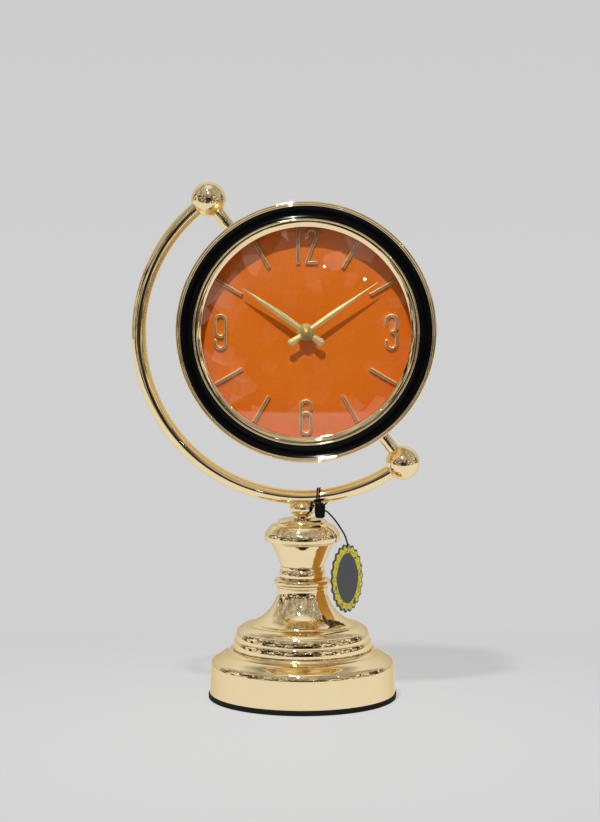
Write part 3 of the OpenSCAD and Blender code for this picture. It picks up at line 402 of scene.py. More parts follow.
# The case's rings, in millimetres
rings = {
    "rimWidth": 2.5,
    "rimLine": 0.9,
    "rimShoulder": 0.75,
    "bezelWall": 1.4,
    "bezelLip": 2.8,
    "bezelCone": 2.5,
    "bezelDrop": 0.8,
    "lineWidth": 1.03,
    "grooveWidth": 0.75,
    "grooveDrop": 1.12,
    "openingInset": 14.5,
}
ringBows = {"rimShoulder": 0.8, "rimLine": 0.6, "bezelShoulder": 0.7, "bezelFace": 0.1, "blackEdge": -0.3}
ringEdges = {"gold": 0.12, "black": 0.25}
openingRadius = rimRadius - rings["openingInset"] * mm
bezelRadius = radiusOf("inner_bezel")


def caseTurned(name, rows, slot, node, edge, turns=320, body="case"):
    turnedPiece(name, rows, body, slot, node, caseFrame, edge, turns)


def addRings():
    size = {key: value * mm for key, value in rings.items()}
    rimInner = rimRadius - size["rimWidth"]
    rimSplit = rimInner + size["rimLine"]
    shoulder = lipFront - size["rimShoulder"]
    rows = [(rimInner, rimBack, 0), (rimRadius, rimBack, 0), (rimRadius, shoulder, ringBows["rimShoulder"]),
            (rimSplit, shoulder, ringBows["rimLine"]), (rimInner, shoulder, 0)]
    caseTurned("rim", rows, "gold", "rim_bezel", ringEdges["gold"])

    back = depthOf("inner_bezel")[0]
    drop, groove = lipFront - size["bezelDrop"], lipFront - size["grooveDrop"]
    rebate, seat = bezelRadius - size["bezelWall"], lipFront - size["bezelLip"]
    lineEdge = bezelRadius - size["lineWidth"]
    beadEdge = lineEdge - size["grooveWidth"]
    cone = lipFront - size["bezelCone"]
    rows = [(rebate, back, 0), (bezelRadius, back, 0), (bezelRadius, drop, ringBows["bezelShoulder"]),
            (lineEdge, drop, 0), (lineEdge, groove, 0), (beadEdge, groove, ringBows["bezelFace"]),
            (openingRadius, cone, 0), (openingRadius, seat, 0), (rebate, seat, 0)]
    caseTurned("innerBezel", rows, "gold", "inner_bezel", ringEdges["gold"])

    back, outside = depthOf("black_ring")[0], radiusOf("black_ring")
    rows = [(bezelRadius, back, 0), (outside, back, 0), (outside, rimBack, 0), (rimInner, rimBack, 0),
            (rimInner, drop, ringBows["blackEdge"]), (bezelRadius, drop, 0)]
    caseTurned("blackRing", rows, "black_gloss", "black_ring", ringEdges["black"])


addRings()

# The shell: a drum with its front seat, dial shelf and rear flange
shell = {
    "wall": 1.6,
    "backRound": 3,
    "backBow": tan(radians(22.5)),
    "shelf": 1.5,
    "shelfInset": 0.5,
    "coverSeat": 2,
    "flange": 2,
    "flangeReach": 0.5,
    "clear": 0.05,
    "edge": 0.2,
}


def addShell():
    outside = radiusOf("case_shell")
    inside = outside - shell["wall"] * mm
    back = depthOf("case_shell")[0]
    cover = radiusOf("rear_cover") + shell["clear"] * mm
    seat = back + shell["coverSeat"] * mm
    flange = seat + shell["flange"] * mm
    flangeRadius = openingRadius - shell["flangeReach"] * mm
    shelf, shelfBack = openingRadius + shell["shelfInset"] * mm, dialBack - shell["shelf"] * mm
    rows = [
        (inside, rimBack, 0), (inside, dialBack, 0), (radiusOf("dial") + shell["clear"] * mm, dialBack, 0),
        (shelf, dialBack, 0), (shelf, shelfBack, 0), (inside, shelfBack, 0), (inside, flange, 0),
        (flangeRadius, flange, 0), (flangeRadius, seat, 0), (cover, seat, 0), (cover, back, 0),
        (outside - shell["backRound"] * mm, back, shell["backBow"]),
        (outside, back + shell["backRound"] * mm, 0), (outside, rimBack, 0),
    ]
    caseTurned("caseShell", rows, "case_gold", "case_shell", shell["edge"])


addShell()

glass = {"rise": 6.0, "thickness": 1.8, "steps": 60, "turns": 240}


def addGlass():
    radius, rise = radiusOf("glass"), glass["rise"] * mm
    dome = (radius ** 2 + rise ** 2) / (2 * rise)
    middle = depthOf("glass")[1] - dome
    points = []
    for sphere, order in ((dome, -1), (dome - glass["thickness"] * mm, 1)):
        reach = asin(radius / sphere)
        angles = [reach * i / glass["steps"] for i in range(glass["steps"] + 1)]
        points += [Vector((sphere * sin(a), middle + sphere * cos(a))) for a in angles][::order]
    makePiece("glass", *lathed(points, caseFrame, glass["turns"]), "case", "glass", "glass")


addGlass()

dial = {"bore": 3.4, "edge": 0.1, "spacerClear": 1.0, "spacerEdge": 0.2, "turns": 240}


def addDial():
    rows = ringRows(dial["bore"] * mm, radiusOf("dial"), dialBack, dialFront)
    caseTurned("dialPlate", rows, "dial_orange", "dial", dial["edge"], dial["turns"])
    inner = openingRadius + dial["spacerClear"] * mm
    rows = ringRows(inner, radiusOf("dial_spacer"), *depthOf("dial_spacer"))
    caseTurned("dialSpacer", rows, "dial_orange", "dial_spacer", dial["spacerEdge"], dial["turns"])


addDial()
print("case closed")


# Numerals and bars, in millimetres
numerals = {
    "height": 19.2,
    "width": 5.8,
    "stroke": 2.0,
    "rise": 2.2,
    "flatness": 0.5,
    "shoulder": 0.6,
    "roundEnds": (0.99, 0.86, 0.6, 0.3),
    "sectionSteps": 16,
    "bendSteps": 20,
    "sharp": 40,
    "centre": 49.6,
    "hook": 0.3,
    "bowl": 0.64,
    "thickShare": 1.15,
    "firstShare": -0.8,
    "secondShare": 0.55,
    "barLength": 17.6,
    "barWidth": 2.2,
    "pieces": ("numeral12", "numeral3", "numeral6", "numeral9", "hourBars"),
}


# A raised stroke along a path on the dial, flat on top with soft shoulders
def wire(path, width, ends=()):
    section = []
    for k in range(numerals["sectionSteps"] + 1):
        angle = pi * k / numerals["sectionSteps"]
        across, up = cos(angle), max(0, sin(angle))
        section.append((width * mm / 2 * copysign(abs(across) ** numerals["flatness"], across),
                        numerals["rise"] * mm * up ** numerals["shoulder"]))
    flat = [Vector((x * mm, y * mm, 0)) for x, y in path]
    start = (flat[0] - flat[1]).normalized() * width * mm / 2
    finish = (flat[-1] - flat[-2]).normalized() * width * mm / 2
    points = [flat[0] + start * t for t in ends] + flat + [flat[-1] + finish * t for t in ends[::-1]]
    caps = [sqrt(1 - t * t) for t in ends]
    scales = caps + [1] * len(flat) + caps[::-1]
    return moved(caseFrame @ Matrix.Translation((0, 0, dialFront)), *swept(points, section, scales))


def bend(x, y, radius, first, last):
    count = numerals["bendSteps"]
    angles = [radians(first + (last - first) * i / count) for i in range(count + 1)]
    return [(x + radius * cos(angle), y + radius * sin(angle)) for angle in angles]


def digitStrokes(digit):
    w, h = numerals["width"] / 2, numerals["height"] / 2
    hook = numerals["hook"] * numerals["width"]
    bowl = numerals["height"] * numerals["bowl"] - h - w
    if digit == 1:
        return [[(0, -h), (0, h)]]
    if digit == 2:
        return [[(-w, h - w - hook)] + bend(0, h - w, w, 180, -20) + [(-w, -h)], [(-w, -h), (w, -h)]]
    if digit == 3:
        return [[(-w, h - w - hook)] + bend(0, h - w, w, 180, 0) + bend(0, w, w, 0, -88),
                [(-w, w + hook - h)] + bend(0, w - h, w, 180, 360) + bend(0, -w, w, 0, 88)]
    return [[(w, h - w - hook)] + bend(0, h - w, w, 0, 180) + bend(0, w - h, w, 180, 359),
            [(w, w - h)] + bend(0, bowl, w, 0, 178)]


# Each digit has its place and its way up; a nine is a six turned round
def addNumeral(name, node, *digits):
    parts = []
    for digit, x, y, way in digits:
        width = numerals["stroke"] * (numerals["thickShare"] if digit == 1 else 1)
        for stroke in digitStrokes(digit):
            placed = [(x + p * way, y + q * way) for p, q in stroke]
            parts.append(wire(placed, width, numerals["roundEnds"]))
    makePiece(name, *joined(*parts), "case", "dial_gold", node, numerals["sharp"])


def addNumerals():
    r, w = numerals["centre"], numerals["width"]
    first, second = w * numerals["firstShare"], w * numerals["secondShare"]
    addNumeral("numeral12", "numeral_12", (1, first, r, 1), (2, second, r, 1))
    addNumeral("numeral3", "numeral_3", (3, r, 0, 1))
    addNumeral("numeral6", "numeral_6", (6, 0, -r, 1))
    addNumeral("numeral9", "numeral_9", (6, -r, 0, -1))
    reach = openingRadius / mm
    spots = (reach - numerals["barLength"], reach)
    bars = []
    for hour in range(12):
        if hour % 3:
            angle = radians(hour * 30)
            path = [(spot * cos(angle), spot * sin(angle)) for spot in spots]
            bars.append(wire(path, numerals["barWidth"]))
    makePiece("hourBars", *joined(*bars), "case", "dial_gold", "hour_bars", numerals["sharp"])


addNumerals()

# Hands, in millimetres and degrees
hands = {
    "hour": {
        "length": 44, "root": 2.8, "wide": 3.7, "wideShare": 0.38, "taper": 1.35,
        "tail": 4.6, "hub": 4.9, "bore": 2.1, "angle": -304.6,
    },
    "minute": {
        "length": 50, "root": 2.3, "wide": 3.1, "wideShare": 0.34, "taper": 1.1,
        "tail": 4.2, "hub": 3.7, "bore": 1.4, "angle": -55.2,
    },
    "steps": 60,
    "tail": 12.4,
    "tailSteps": 12,
    "tailTaper": 1.5,
    "tailEnd": 0.08,
    "tailRound": 9,
    "edge": 0.3,
    "thickness": 0.9,
    "ridgeSlope": 1.6,
    "tip": 0.35,
    "hubShare": 1.02,
    "hubEdge": 0.2,
    "turns": 96,
    "sharp": 25,
}
handNut = {"wall": 1.1, "shoulder": 1.2, "domeRadius": 1.9, "domeBow": 0.42, "edge": 0.15}


# Half the blade's width at a share of its length
def bladeHalf(hand, share):
    wide = hand["wideShare"]
    if share < wide:
        ease = sin(share / wide * pi / 2)
        return (hand["root"] + (hand["wide"] - hand["root"]) * ease) / 2
    ease = 1 - ((share - wide) / (1 - wide)) ** hand["taper"]
    return (hands["tip"] + (hand["wide"] - hands["tip"]) * ease) / 2


def ridged(stations, widest):
    verts = []
    for y, half in stations:
        slope = min(1, hands["ridgeSlope"] * half / widest)
        ridge = hands["edge"] + (hands["thickness"] - hands["edge"]) * slope
        section = ((-half, 0), (-half, hands["edge"]), (0, ridge), (half, hands["edge"]), (half, 0))
        verts += [Vector((x, y, z)) * mm for x, z in section]
    return verts, stacked(len(verts), len(section))


def addHand(name, node, body):
    hand = hands[body]
    shares = [i / hands["steps"] for i in range(hands["steps"] + 1)]
    blade = [(hand["length"] * share, bladeHalf(hand, share)) for share in shares]
    root, tailHalf = hand["root"] / 2, hand["tail"] / 2
    straight = hands["tail"] - tailHalf
    shares = [i / hands["tailSteps"] for i in range(hands["tailSteps"] + 1)]
    tail = [(-straight * share, root + (tailHalf - root) * share ** hands["tailTaper"]) for share in shares]
    for angle in (pi / 2 * (i + 1) / hands["tailRound"] for i in range(hands["tailRound"])):
        half = max(hands["tailEnd"], tailHalf * cos(angle))
        tail.append((-straight - tailHalf * sin(angle), half))
    turn = Matrix.Rotation(radians(hand["angle"]), 4, "Z")
    place = caseFrame @ Matrix.Translation((0, 0, depthOf(node)[0])) @ turn
    parts = [moved(place, *ridged(stations, hand["wide"] / 2)) for stations in (blade, tail)]
    rows = ringRows(hand["bore"] * mm, hand["hub"] * mm, 0, hands["hubShare"] * hands["thickness"] * mm)
    parts.append(lathed(softened(outline(rows), hands["hubEdge"] * mm), place, hands["turns"]))
    makePiece(name, *joined(*parts), body, "dial_gold", node, hands["sharp"])


def addHandNut():
    back, front = depthOf("hand_nut")
    radius, dome = radiusOf("hand_nut"), handNut["domeRadius"] * mm
    rows = [(0, back, 0), (radius, back, 0), (radius, back + handNut["wall"] * mm, 0),
            (dome, back + handNut["shoulder"] * mm, handNut["domeBow"]), (0, front, 0)]
    caseTurned("handNut", rows, "dial_gold", "hand_nut", handNut["edge"], hands["turns"], "minute")


addHand("hourHand", "hour_hand", "hour")
addHand("minuteHand", "minute_hand", "minute")
addHandNut()
print("hands set")


# The pressed seal: its profile in height and radius shares, and its string ends as heading, lean and length
sealing = {
    "profile": [(0, 0), (0, 0.7), (0.08, 0.86), (0.35, 0.97), (0.7, 1), (0.92, 0.97), (1, 0.82), (1, 0)],
    "profileSteps": 5,
    "turns": 56,
    "lump": 1.1,
    "dent": 0.14,
    "ends": [(5, 1.4, 2.4), (-35, 1.9, 1.9), (60, 1.2, 1.6), (178, 1.0, 1.5), (215, 0.8, 1.2)],
    "endRoot": 0.97,
    "endWidth": 0.8,
    "endSides": 8,
    "endDroop": 0.4,
    "endShares": (0, 0.3, 0.6, 0.85, 1),
    "endScales": (1, 1, 0.9, 0.6, 0.2),
}


# A rough barrel, drawn in below, with the cut ends of the string at its top
def addSeal():
    low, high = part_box("tag_seal")
    radius, height = (high.x - low.x) / 2, high.z - low.z
    middle = Vector(((low.x + high.x) / 2, (low.y + high.y) / 2, low.z))
    rows = [Vector((radius * share, height * rise)) for rise, share in sealing["profile"]]
    run = [rows[0]]
    steps = sealing["profileSteps"]
    for here, following in zip(rows, rows[1:]):
        run += [here.lerp(following, (step + 1) / steps) for step in range(steps)]
    verts, faces = lathed(run, Matrix.Translation(middle), sealing["turns"])
    for i, vert in enumerate(verts):
        spoke = Vector((vert.x - middle.x, vert.y - middle.y, 0))
        dent = noise.noise(vert / (sealing["lump"] * mm)) * sealing["dent"]
        verts[i] = vert - spoke * max(0, dent + sealing["dent"] / 2)
    parts = [(verts, faces)]
    root = middle + Vector((0, 0, height * sealing["endRoot"]))
    section = roundSection(sealing["endWidth"] * mm / 2, sealing["endSides"])
    for turn, lean, reach in sealing["ends"]:
        heading = radians(turn)
        aim = Vector((cos(heading) * lean, sin(heading) * lean, 1)).normalized()
        start = root + Vector((aim.x, aim.y, 0)) * radius
        path = [start + aim * reach * mm * t + Vector((0, 0, -sealing["endDroop"] * mm * t * t))
                for t in sealing["endShares"]]
        parts.append(swept(path, section, sealing["endScales"], Vector((0, 1, 0))))
    return makePiece("tagSeal", *joined(*parts), "stand", "seal", "tag_seal")


seal = addSeal()

# The swing tag; its levels are rows of width share and depth share from the edge's middle to the face
tag = {
    "width": 30.5,
    "thickness": 1.2,
    "scallops": 22,
    "scallopSteps": 8,
    "depth": 0.035,
    "levels": [(1, 0), (1, 0.35), (0.975, 0.5), (0.93, 0.5)],
    "turn": 51,
    "lean": -1.5,
}
tagLow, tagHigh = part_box("swing_tag")
tagCentre = middleOf("swing_tag")
tagHeight = tagHigh.z - tagLow.z
tagEnd = route[-1]


# A scalloped oval plate with a raised border, which leans a little from the end of its string
def addTag():
    lean = Matrix.Rotation(radians(tag["lean"]), 4, "Y")
    turn = Matrix.Rotation(radians(tag["turn"]), 4, "Z")
    upright = Matrix.Translation(tagCentre) @ turn
    tagLean = Matrix.Translation(tagEnd) @ lean @ Matrix.Translation(-tagEnd)
    place = tagLean @ upright @ Matrix.Rotation(radians(90), 4, "X")
    steps = tag["scallops"] * tag["scallopSteps"]
    verts = []
    for share, depth in [(s, -d) for s, d in tag["levels"][::-1]] + tag["levels"]:
        for k in range(steps):
            angle = 2 * pi * k / steps
            swell = (1 - tag["depth"] * (1 - cos(angle * tag["scallops"]))) * share
            across = tag["width"] * mm / 2 * swell * cos(angle)
            upward = tagHeight / 2 * swell * sin(angle)
            verts.append(place @ Vector((across, upward, depth * tag["thickness"] * mm)))
    return makePiece("swingTag", verts, stacked(len(verts), steps), "stand", "tag", "swing_tag")


swingTag = addTag()
print("tag hung")


# A link or a plain value for one input; a plain colour is given without its alpha
def feed(tree, node, key, value):
    socket = node.inputs[key]
    if isinstance(value, bpy.types.NodeSocket):
        tree.links.new(value, socket)
    else:
        socket.default_value = (*value, 1.0) if socket.type == "RGBA" else value


def feedAll(tree, node, **values):
    for key, value in values.items():
        feed(tree, node, key.replace("_", " "), value)
    return node


def nodeOf(tree, kind, inputs={}, **settings):
    node = tree.nodes.new("ShaderNode" + kind)
    for key, value in settings.items():
        setattr(node, key, value)
    for key, value in inputs.items():
        feed(tree, node, key, value)
    return node


def mathNode(tree, operation, *values, clamp=False):
    node = nodeOf(tree, "Math", dict(enumerate(values)), operation=operation, use_clamp=clamp)
    return node.outputs[0]


def times(tree, a, b):
    return mathNode(tree, "MULTIPLY", a, b)


def timesPlus(tree, a, b, c):
    return mathNode(tree, "MULTIPLY_ADD", a, b, c)


def ranged(tree, value, low, high, toLow=0.0, toHigh=1.0, **settings):
    node = nodeOf(tree, "MapRange", {0: value, 1: low, 2: high, 3: toLow, 4: toHigh}, **settings)
    return node.outputs[0]


def softly(tree, value, low, high):
    return ranged(tree, value, low, high, interpolation_type="SMOOTHSTEP")


def noiseOf(tree, vector, scale, detail=3.0, roughness=0.5):
    node = nodeOf(tree, "TexNoise")
    feedAll(tree, node, Vector=vector, Scale=scale, Detail=detail, Roughness=roughness)
    return node.outputs["Fac"]


def mixColour(tree, factor, a, b):
    return nodeOf(tree, "Mix", {0: factor, 6: a, 7: b}, data_type="RGBA").outputs[2]


def placeIn(tree):
    return nodeOf(tree, "TexCoord").outputs["Object"]


def partsOf(tree, vector):
    return nodeOf(tree, "SeparateXYZ", {0: vector}).outputs


# Shared effects; an output called Color is a colour and the others are plain values
def newGroup(name, inputs, outputs):
    group = bpy.data.node_groups.new(name, "ShaderNodeTree")
    for label, value in inputs.items():
        colour = isinstance(value, tuple)
        kind = "NodeSocketColor" if colour else "NodeSocketFloat"
        socket = group.interface.new_socket(label, in_out="INPUT", socket_type=kind)
        socket.default_value = (*value, 1.0) if colour else value
    for label in outputs:
        kind = "NodeSocketColor" if label == "Color" else "NodeSocketFloat"
        group.interface.new_socket(label, in_out="OUTPUT", socket_type=kind)
    return group, group.nodes.new("NodeGroupInput").outputs, group.nodes.new("NodeGroupOutput")


# Scale, detail and roughness of each noise, and the spans of it that show as marks
effects = {
    "smudge": (55.0, 4.0, 0.6),
    "smudgeSpan": (0.42, 0.75),
    "wave": (1.0, 0.4),
    "hairStretch": (120.0, 120.0, 2600.0),
    "hair": (1.0, 2.0),
    "hairSpan": (0.6, 0.75),
    "hairRoughness": 0.06,
    "hairDepth": -0.04,
    "cloud": (5.0, 0.62),
    "cloudSpan": (0.32, 0.68),
    "skin": (3.0, 0.6),
    "skinSpan": (0.35, 0.65),
    "skinShare": 0.3,
    "grainCloud": 120.0,
    "brokenEdge": 260.0,
    "levelPoint": 0.5,
}


# Smudges, hairlines and the slight waviness of polished plating
def makePolishGroup():
    group, given, result = newGroup(
        "polishMarks", {"Base Roughness": 0.08, "Haze": 0.05, "Wave Scale": 60.0, "Hairlines": 0.3},
        ("Roughness", "Height", "Tint"))
    place = placeIn(group)
    smudge = noiseOf(group, place, *effects["smudge"])
    wave = noiseOf(group, place, given["Wave Scale"], *effects["wave"])
    stretched = nodeOf(group, "Mapping", {"Vector": place, "Scale": effects["hairStretch"]}).outputs[0]
    hair = ranged(group, noiseOf(group, stretched, *effects["hair"]), *effects["hairSpan"])
    marked = times(group, hair, given["Hairlines"])
    haze = ranged(group, smudge, *effects["smudgeSpan"])
    hazed = timesPlus(group, haze, given["Haze"], given["Base Roughness"])
    feedAll(group, result, Roughness=timesPlus(group, marked, effects["hairRoughness"], hazed),
            Height=timesPlus(group, marked, effects["hairDepth"], wave), Tint=smudge)
    return group


# Cloudy colour and a fine skin, for lacquer and castings
def makeMottleGroup():
    group, given, result = newGroup(
        "mottle",
        {"Dark": (0.2, 0.1, 0.05), "Light": (0.6, 0.3, 0.1), "Cloud Scale": 90.0, "Skin Scale": 1400.0},
        ("Color", "Height", "Mask"))
    place = placeIn(group)
    cloud = noiseOf(group, place, given["Cloud Scale"], *effects["cloud"])
    skin = noiseOf(group, place, given["Skin Scale"], *effects["skin"])
    share = effects["skinShare"]
    clouds = times(group, ranged(group, cloud, *effects["cloudSpan"]), 1 - share)
    mask = timesPlus(group, ranged(group, skin, *effects["skinSpan"]), share, clouds)
    colour = mixColour(group, mask, given["Dark"], given["Light"])
    feedAll(group, result, Color=colour, Height=skin, Mask=mask)
    return group


# Small pits and bumps of moulded plastic, rubber and foam
def makeGrainGroup():
    group, given, result = newGroup(
        "mouldGrain", {"Grain Scale": 2200.0, "Base Roughness": 0.5, "Spread": 0.15},
        ("Height", "Roughness"))
    place = placeIn(group)
    cells = nodeOf(group, "TexVoronoi", {"Vector": place, "Scale": given["Grain Scale"]})
    cloud = noiseOf(group, place, effects["grainCloud"])
    rough = timesPlus(group, cloud, given["Spread"], given["Base Roughness"])
    feedAll(group, result, Height=cells.outputs["Distance"], Roughness=rough)
    return group


# Bright, rubbed edges from how sharply the surface turns
def makeEdgeGroup():
    group, given, result = newGroup("edgeWear", {"Reach": 0.08}, ("Mask",))
    bent = nodeOf(group, "NewGeometry").outputs["Pointiness"]
    level = effects["levelPoint"]
    edge = ranged(group, bent, level, mathNode(group, "ADD", given["Reach"], level))
    broken = noiseOf(group, placeIn(group), effects["brokenEdge"])
    feed(group, result, "Mask", mathNode(group, "MULTIPLY", edge, broken, clamp=True))
    return group


polishMarks = makePolishGroup()
mottle = makeMottleGroup()
mouldGrain = makeGrainGroup()
edgeWear = makeEdgeGroup()


def newMaterial(name, **plain):
    material = bpy.data.materials.new(name)
    material.use_nodes = True
    tree = material.node_tree
    shader = tree.nodes["Principled BSDF"]
    feedAll(tree, shader, **plain)
    return material, tree, shader


def groupIn(tree, group, **inputs):
    return feedAll(tree, nodeOf(tree, "Group", node_tree=group), **inputs).outputs


# Colour, roughness and bump for a material's own shader
def dress(tree, shader, colour, roughness, height, strength, depth):
    bump = nodeOf(tree, "Bump", {"Height": height, "Strength": strength, "Distance": depth * mm})
    feedAll(tree, shader, Base_Color=colour, Roughness=roughness, Normal=bump.outputs[0])


# Name, light and deep colour, roughness, haze, wave scale, hairlines and bump
metals = {
    "gold": ("polishedGold", (0.93, 0.775, 0.50), (0.88, 0.70, 0.395), 0.02, 0.012, 42.0, 0.08, 0.10),
    "case_gold": ("satinGold", (0.93, 0.775, 0.50), (0.88, 0.70, 0.395), 0.32, 0.04, 60.0, 0.8, 0.06),
    "dial_gold": ("handGold", (0.47, 0.37, 0.115), (0.36, 0.275, 0.07), 0.31, 0.06, 300.0, 0.3, 0.06),
    "steel": ("turnedSteel", (0.72, 0.73, 0.74), (0.6, 0.61, 0.62), 0.25, 0.15, 200.0, 1.0, 0.15),
    "train_brass": ("stampedBrass", (0.85, 0.65, 0.3), (0.7, 0.5, 0.2), 0.25, 0.15, 200.0, 1.0, 0.15),
    "bush": ("bearingMetal", (0.72, 0.5, 0.28), (0.6, 0.4, 0.2), 0.4, 0.15, 300.0, 0.6, 0.2),
    "magnet": ("bondedMagnet", (0.3, 0.3, 0.32), (0.2, 0.2, 0.22), 0.4, 0.2, 300.0, 0.4, 0.2),
    "coil": ("copperWinding", (0.75, 0.36, 0.14), (0.5, 0.2, 0.07), 0.3, 0.1, 800.0, 1.0, 0.6),
    "battery": ("cellSleeve", (0.45, 0.46, 0.48), (0.33, 0.34, 0.36), 0.35, 0.1, 80.0, 0.4, 0.05),
}
# Metals that are less than fully metallic, and the tint of the sheen at a grazing angle
polish = {
    "metallic": {"handGold": 0.5},
    "grazing": {"polishedGold": (0.8, 0.72, 0.56)},
    "usualGrazing": (1.0, 0.9, 0.7),
    "wearReach": 0.12,
    "wearShare": 0.35,
    "worn": (1.0, 0.93, 0.78),
    "depth": 0.4,
}


def polishedMetal(name, light, deep, roughness, haze, waveScale, hairlines, bump):
    material, tree, shader = newMaterial(name, Metallic=polish["metallic"].get(name, 1.0),
                                         Specular_Tint=polish["grazing"].get(name, polish["usualGrazing"]))
    marks = groupIn(tree, polishMarks, Base_Roughness=roughness, Haze=haze, Wave_Scale=waveScale,
                    Hairlines=hairlines)
    wear = groupIn(tree, edgeWear, Reach=polish["wearReach"])["Mask"]
    plated = mixColour(tree, marks["Tint"], deep, light)
    colour = mixColour(tree, times(tree, wear, polish["wearShare"]), plated, polish["worn"])
    dress(tree, shader, colour, marks["Roughness"], marks["Height"], bump, polish["depth"])
    return material


# Name, dark and light colour, roughness, cloud scale, skin scale, bump, metallic and specular level
coats = {
    "weight": ("rawCasting", (0.10, 0.10, 0.11), (0.2, 0.2, 0.21), 0.7, 160.0, 900.0, 0.5, 0.6, 0.5),
    "dial_orange": (
        "dialLacquer", (0.53, 0.106, 0.001), (0.62, 0.134, 0.001), 0.42, 700.0, 2600.0, 0.35, 0.0, 0.2),
}
coating = {"roughnessSpread": (-0.06, 0.08), "depth": 0.05}


def mottledCoat(name, dark, light, roughness, cloudScale, skinScale, bump, metallic, specular):
    material, tree, shader = newMaterial(name, Metallic=metallic, Specular_IOR_Level=specular)
    clouds = groupIn(tree, mottle, Dark=dark, Light=light, Cloud_Scale=cloudScale, Skin_Scale=skinScale)
    span = [roughness + spread for spread in coating["roughnessSpread"]]
    rough = ranged(tree, clouds["Mask"], 0.0, 1.0, *span)
    dress(tree, shader, clouds["Color"], rough, clouds["Height"], bump, coating["depth"])
    return material


# Name, colour, colour of the rubbed edges, roughness, grain scale, bump and specular level
plastics = {
    "black_gloss": ("blackGloss", (0.0015, 0.0015, 0.002), (0.004, 0.004, 0.005), 0.05, 500.0, 0.01, 0.08),
    "gasket": ("gasketRubber", (0.02, 0.02, 0.02), (0.05, 0.05, 0.05), 0.7, 1800.0, 0.3, 0.5),
    "pad": ("padFoam", (0.004, 0.004, 0.004), (0.012, 0.012, 0.012), 0.8, 1500.0, 0.5, 0.2),
    "movement_black": (
        "movementPlastic", (0.018, 0.018, 0.02), (0.06, 0.06, 0.065), 0.45, 2200.0, 0.25, 0.5),
    "train_plastic": ("whiteAcetal", (0.80, 0.80, 0.76), (0.9, 0.9, 0.88), 0.4, 2200.0, 0.1, 0.5),
    "board": ("circuitBoard", (0.05, 0.2, 0.09), (0.1, 0.3, 0.15), 0.35, 800.0, 0.2, 0.5),
    "seal": ("sealPellet", (0.002, 0.002, 0.002), (0.008, 0.008, 0.008), 0.6, 900.0, 1.0, 0.08),
}
moulding = {"wearReach": 0.15, "depth": 0.05}


def mouldedPlastic(name, colour, edge, roughness, grainScale, bump, specular):
    material, tree, shader = newMaterial(name, Specular_IOR_Level=specular)
    grain = groupIn(tree, mouldGrain, Grain_Scale=grainScale, Base_Roughness=roughness)
    wear = groupIn(tree, edgeWear, Reach=moulding["wearReach"])["Mask"]
    wearAndPaintedEdge = mixColour(tree, wear, colour, edge)
    dress(tree, shader, wearAndPaintedEdge, grain["Roughness"], grain["Height"], bump, moulding["depth"])
    return material


# Cast numerals: the front-facing face is painted dark as a painted reflection of the dark room, and the turned
# edges are painted bright as a painted highlight
numeralLook = {
    # The face colour is a painted reflection and the edge colour a painted highlight, varied by the smudge noise
    "face": (0.33, 0.205, 0.065),
    "edge": (0.76, 0.62, 0.37),
    "turnsAt": (0.97, 0.80),
    "wearAndPaintedEdge": (0.2, 0.5, 0.7, 1.0),
    "metallic": 0.5,
    "roughness": 0.28,
    "haze": 0.08,
    "waveScale": 300.0,
    "hairlines": 0.4,
    "bump": 0.06,
}


def makeNumeralGold(look):
    material, tree, shader = newMaterial("numeralGold", Metallic=look["metallic"])
    marks = groupIn(tree, polishMarks, Base_Roughness=look["roughness"], Haze=look["haze"],
                    Wave_Scale=look["waveScale"], Hairlines=look["hairlines"])
    # Painted light by the surface's own normal: the front-facing face gets the dark face colour, the turned sides
    # the bright edge colour
    forward = partsOf(tree, nodeOf(tree, "TexCoord").outputs["Normal"])[1]
    edge = ranged(tree, mathNode(tree, "ABSOLUTE", forward), *look["turnsAt"])
    wearAndPaintedEdge = times(tree, edge, ranged(tree, marks["Tint"], *look["wearAndPaintedEdge"]))
    colour = mixColour(tree, wearAndPaintedEdge, look["face"], look["edge"])
    dress(tree, shader, colour, marks["Roughness"], marks["Height"], look["bump"], polish["depth"])
    return material


glassLook = {
    "tint": (0.98, 0.99, 0.985),
    "refraction": 1.56,
    "dust": (60.0, 5.0, 0.7),
    "dustSpan": (0.55, 0.8, 0.0, 0.035),
}


# Light passes the glass to the dial as if it weren't there
def makeGlass(look):
    material, tree, shader = newMaterial("domedGlass", Base_Color=look["tint"], IOR=look["refraction"],
                                         Transmission_Weight=1.0)
    path = nodeOf(tree, "LightPath").outputs
    passing = mathNode(tree, "MAXIMUM", path["Is Shadow Ray"], path["Is Diffuse Ray"])
    clear = nodeOf(tree, "BsdfTransparent").outputs[0]
    mixed = nodeOf(tree, "MixShader", {0: passing, 1: shader.outputs[0], 2: clear})
    feed(tree, tree.nodes["Material Output"], "Surface", mixed.outputs[0])
    dust = noiseOf(tree, placeIn(tree), *look["dust"])
    feed(tree, shader, "Roughness", ranged(tree, dust, *look["dustSpan"]))
    return material


# The tag's printed card: the panel's half sizes in shares of the tag, and pairs of colours
card = {
    "panel": (0.68, 0.73),
    "panelPoint": 1.6,
    "panelEdge": (0.98, 1.02),
    "rim": (0.955, 0.935),
    "scrollScale": 520.0,
    "scrollSpan": (0.02, 0.09),
    "leaf": (420.0, 4.0, 0.6),
    "leafSpan": (0.36, 0.46),
    "fleckSpan": (0.0, 0.35),
    "darkScale": 900.0,
    "dark": ((0.034, 0.040, 0.045), (0.060, 0.066, 0.070)),
    "yellow": ((0.58, 0.47, 0.008), (0.86, 0.74, 0.03)),
    "board": ((0.82, 0.42, 0.04), (0.98, 0.66, 0.12)),
    "roughness": 0.42,
    "bump": 0.5,
    "depth": 0.1,
    "backSpan": (0.3, 0.4),
}


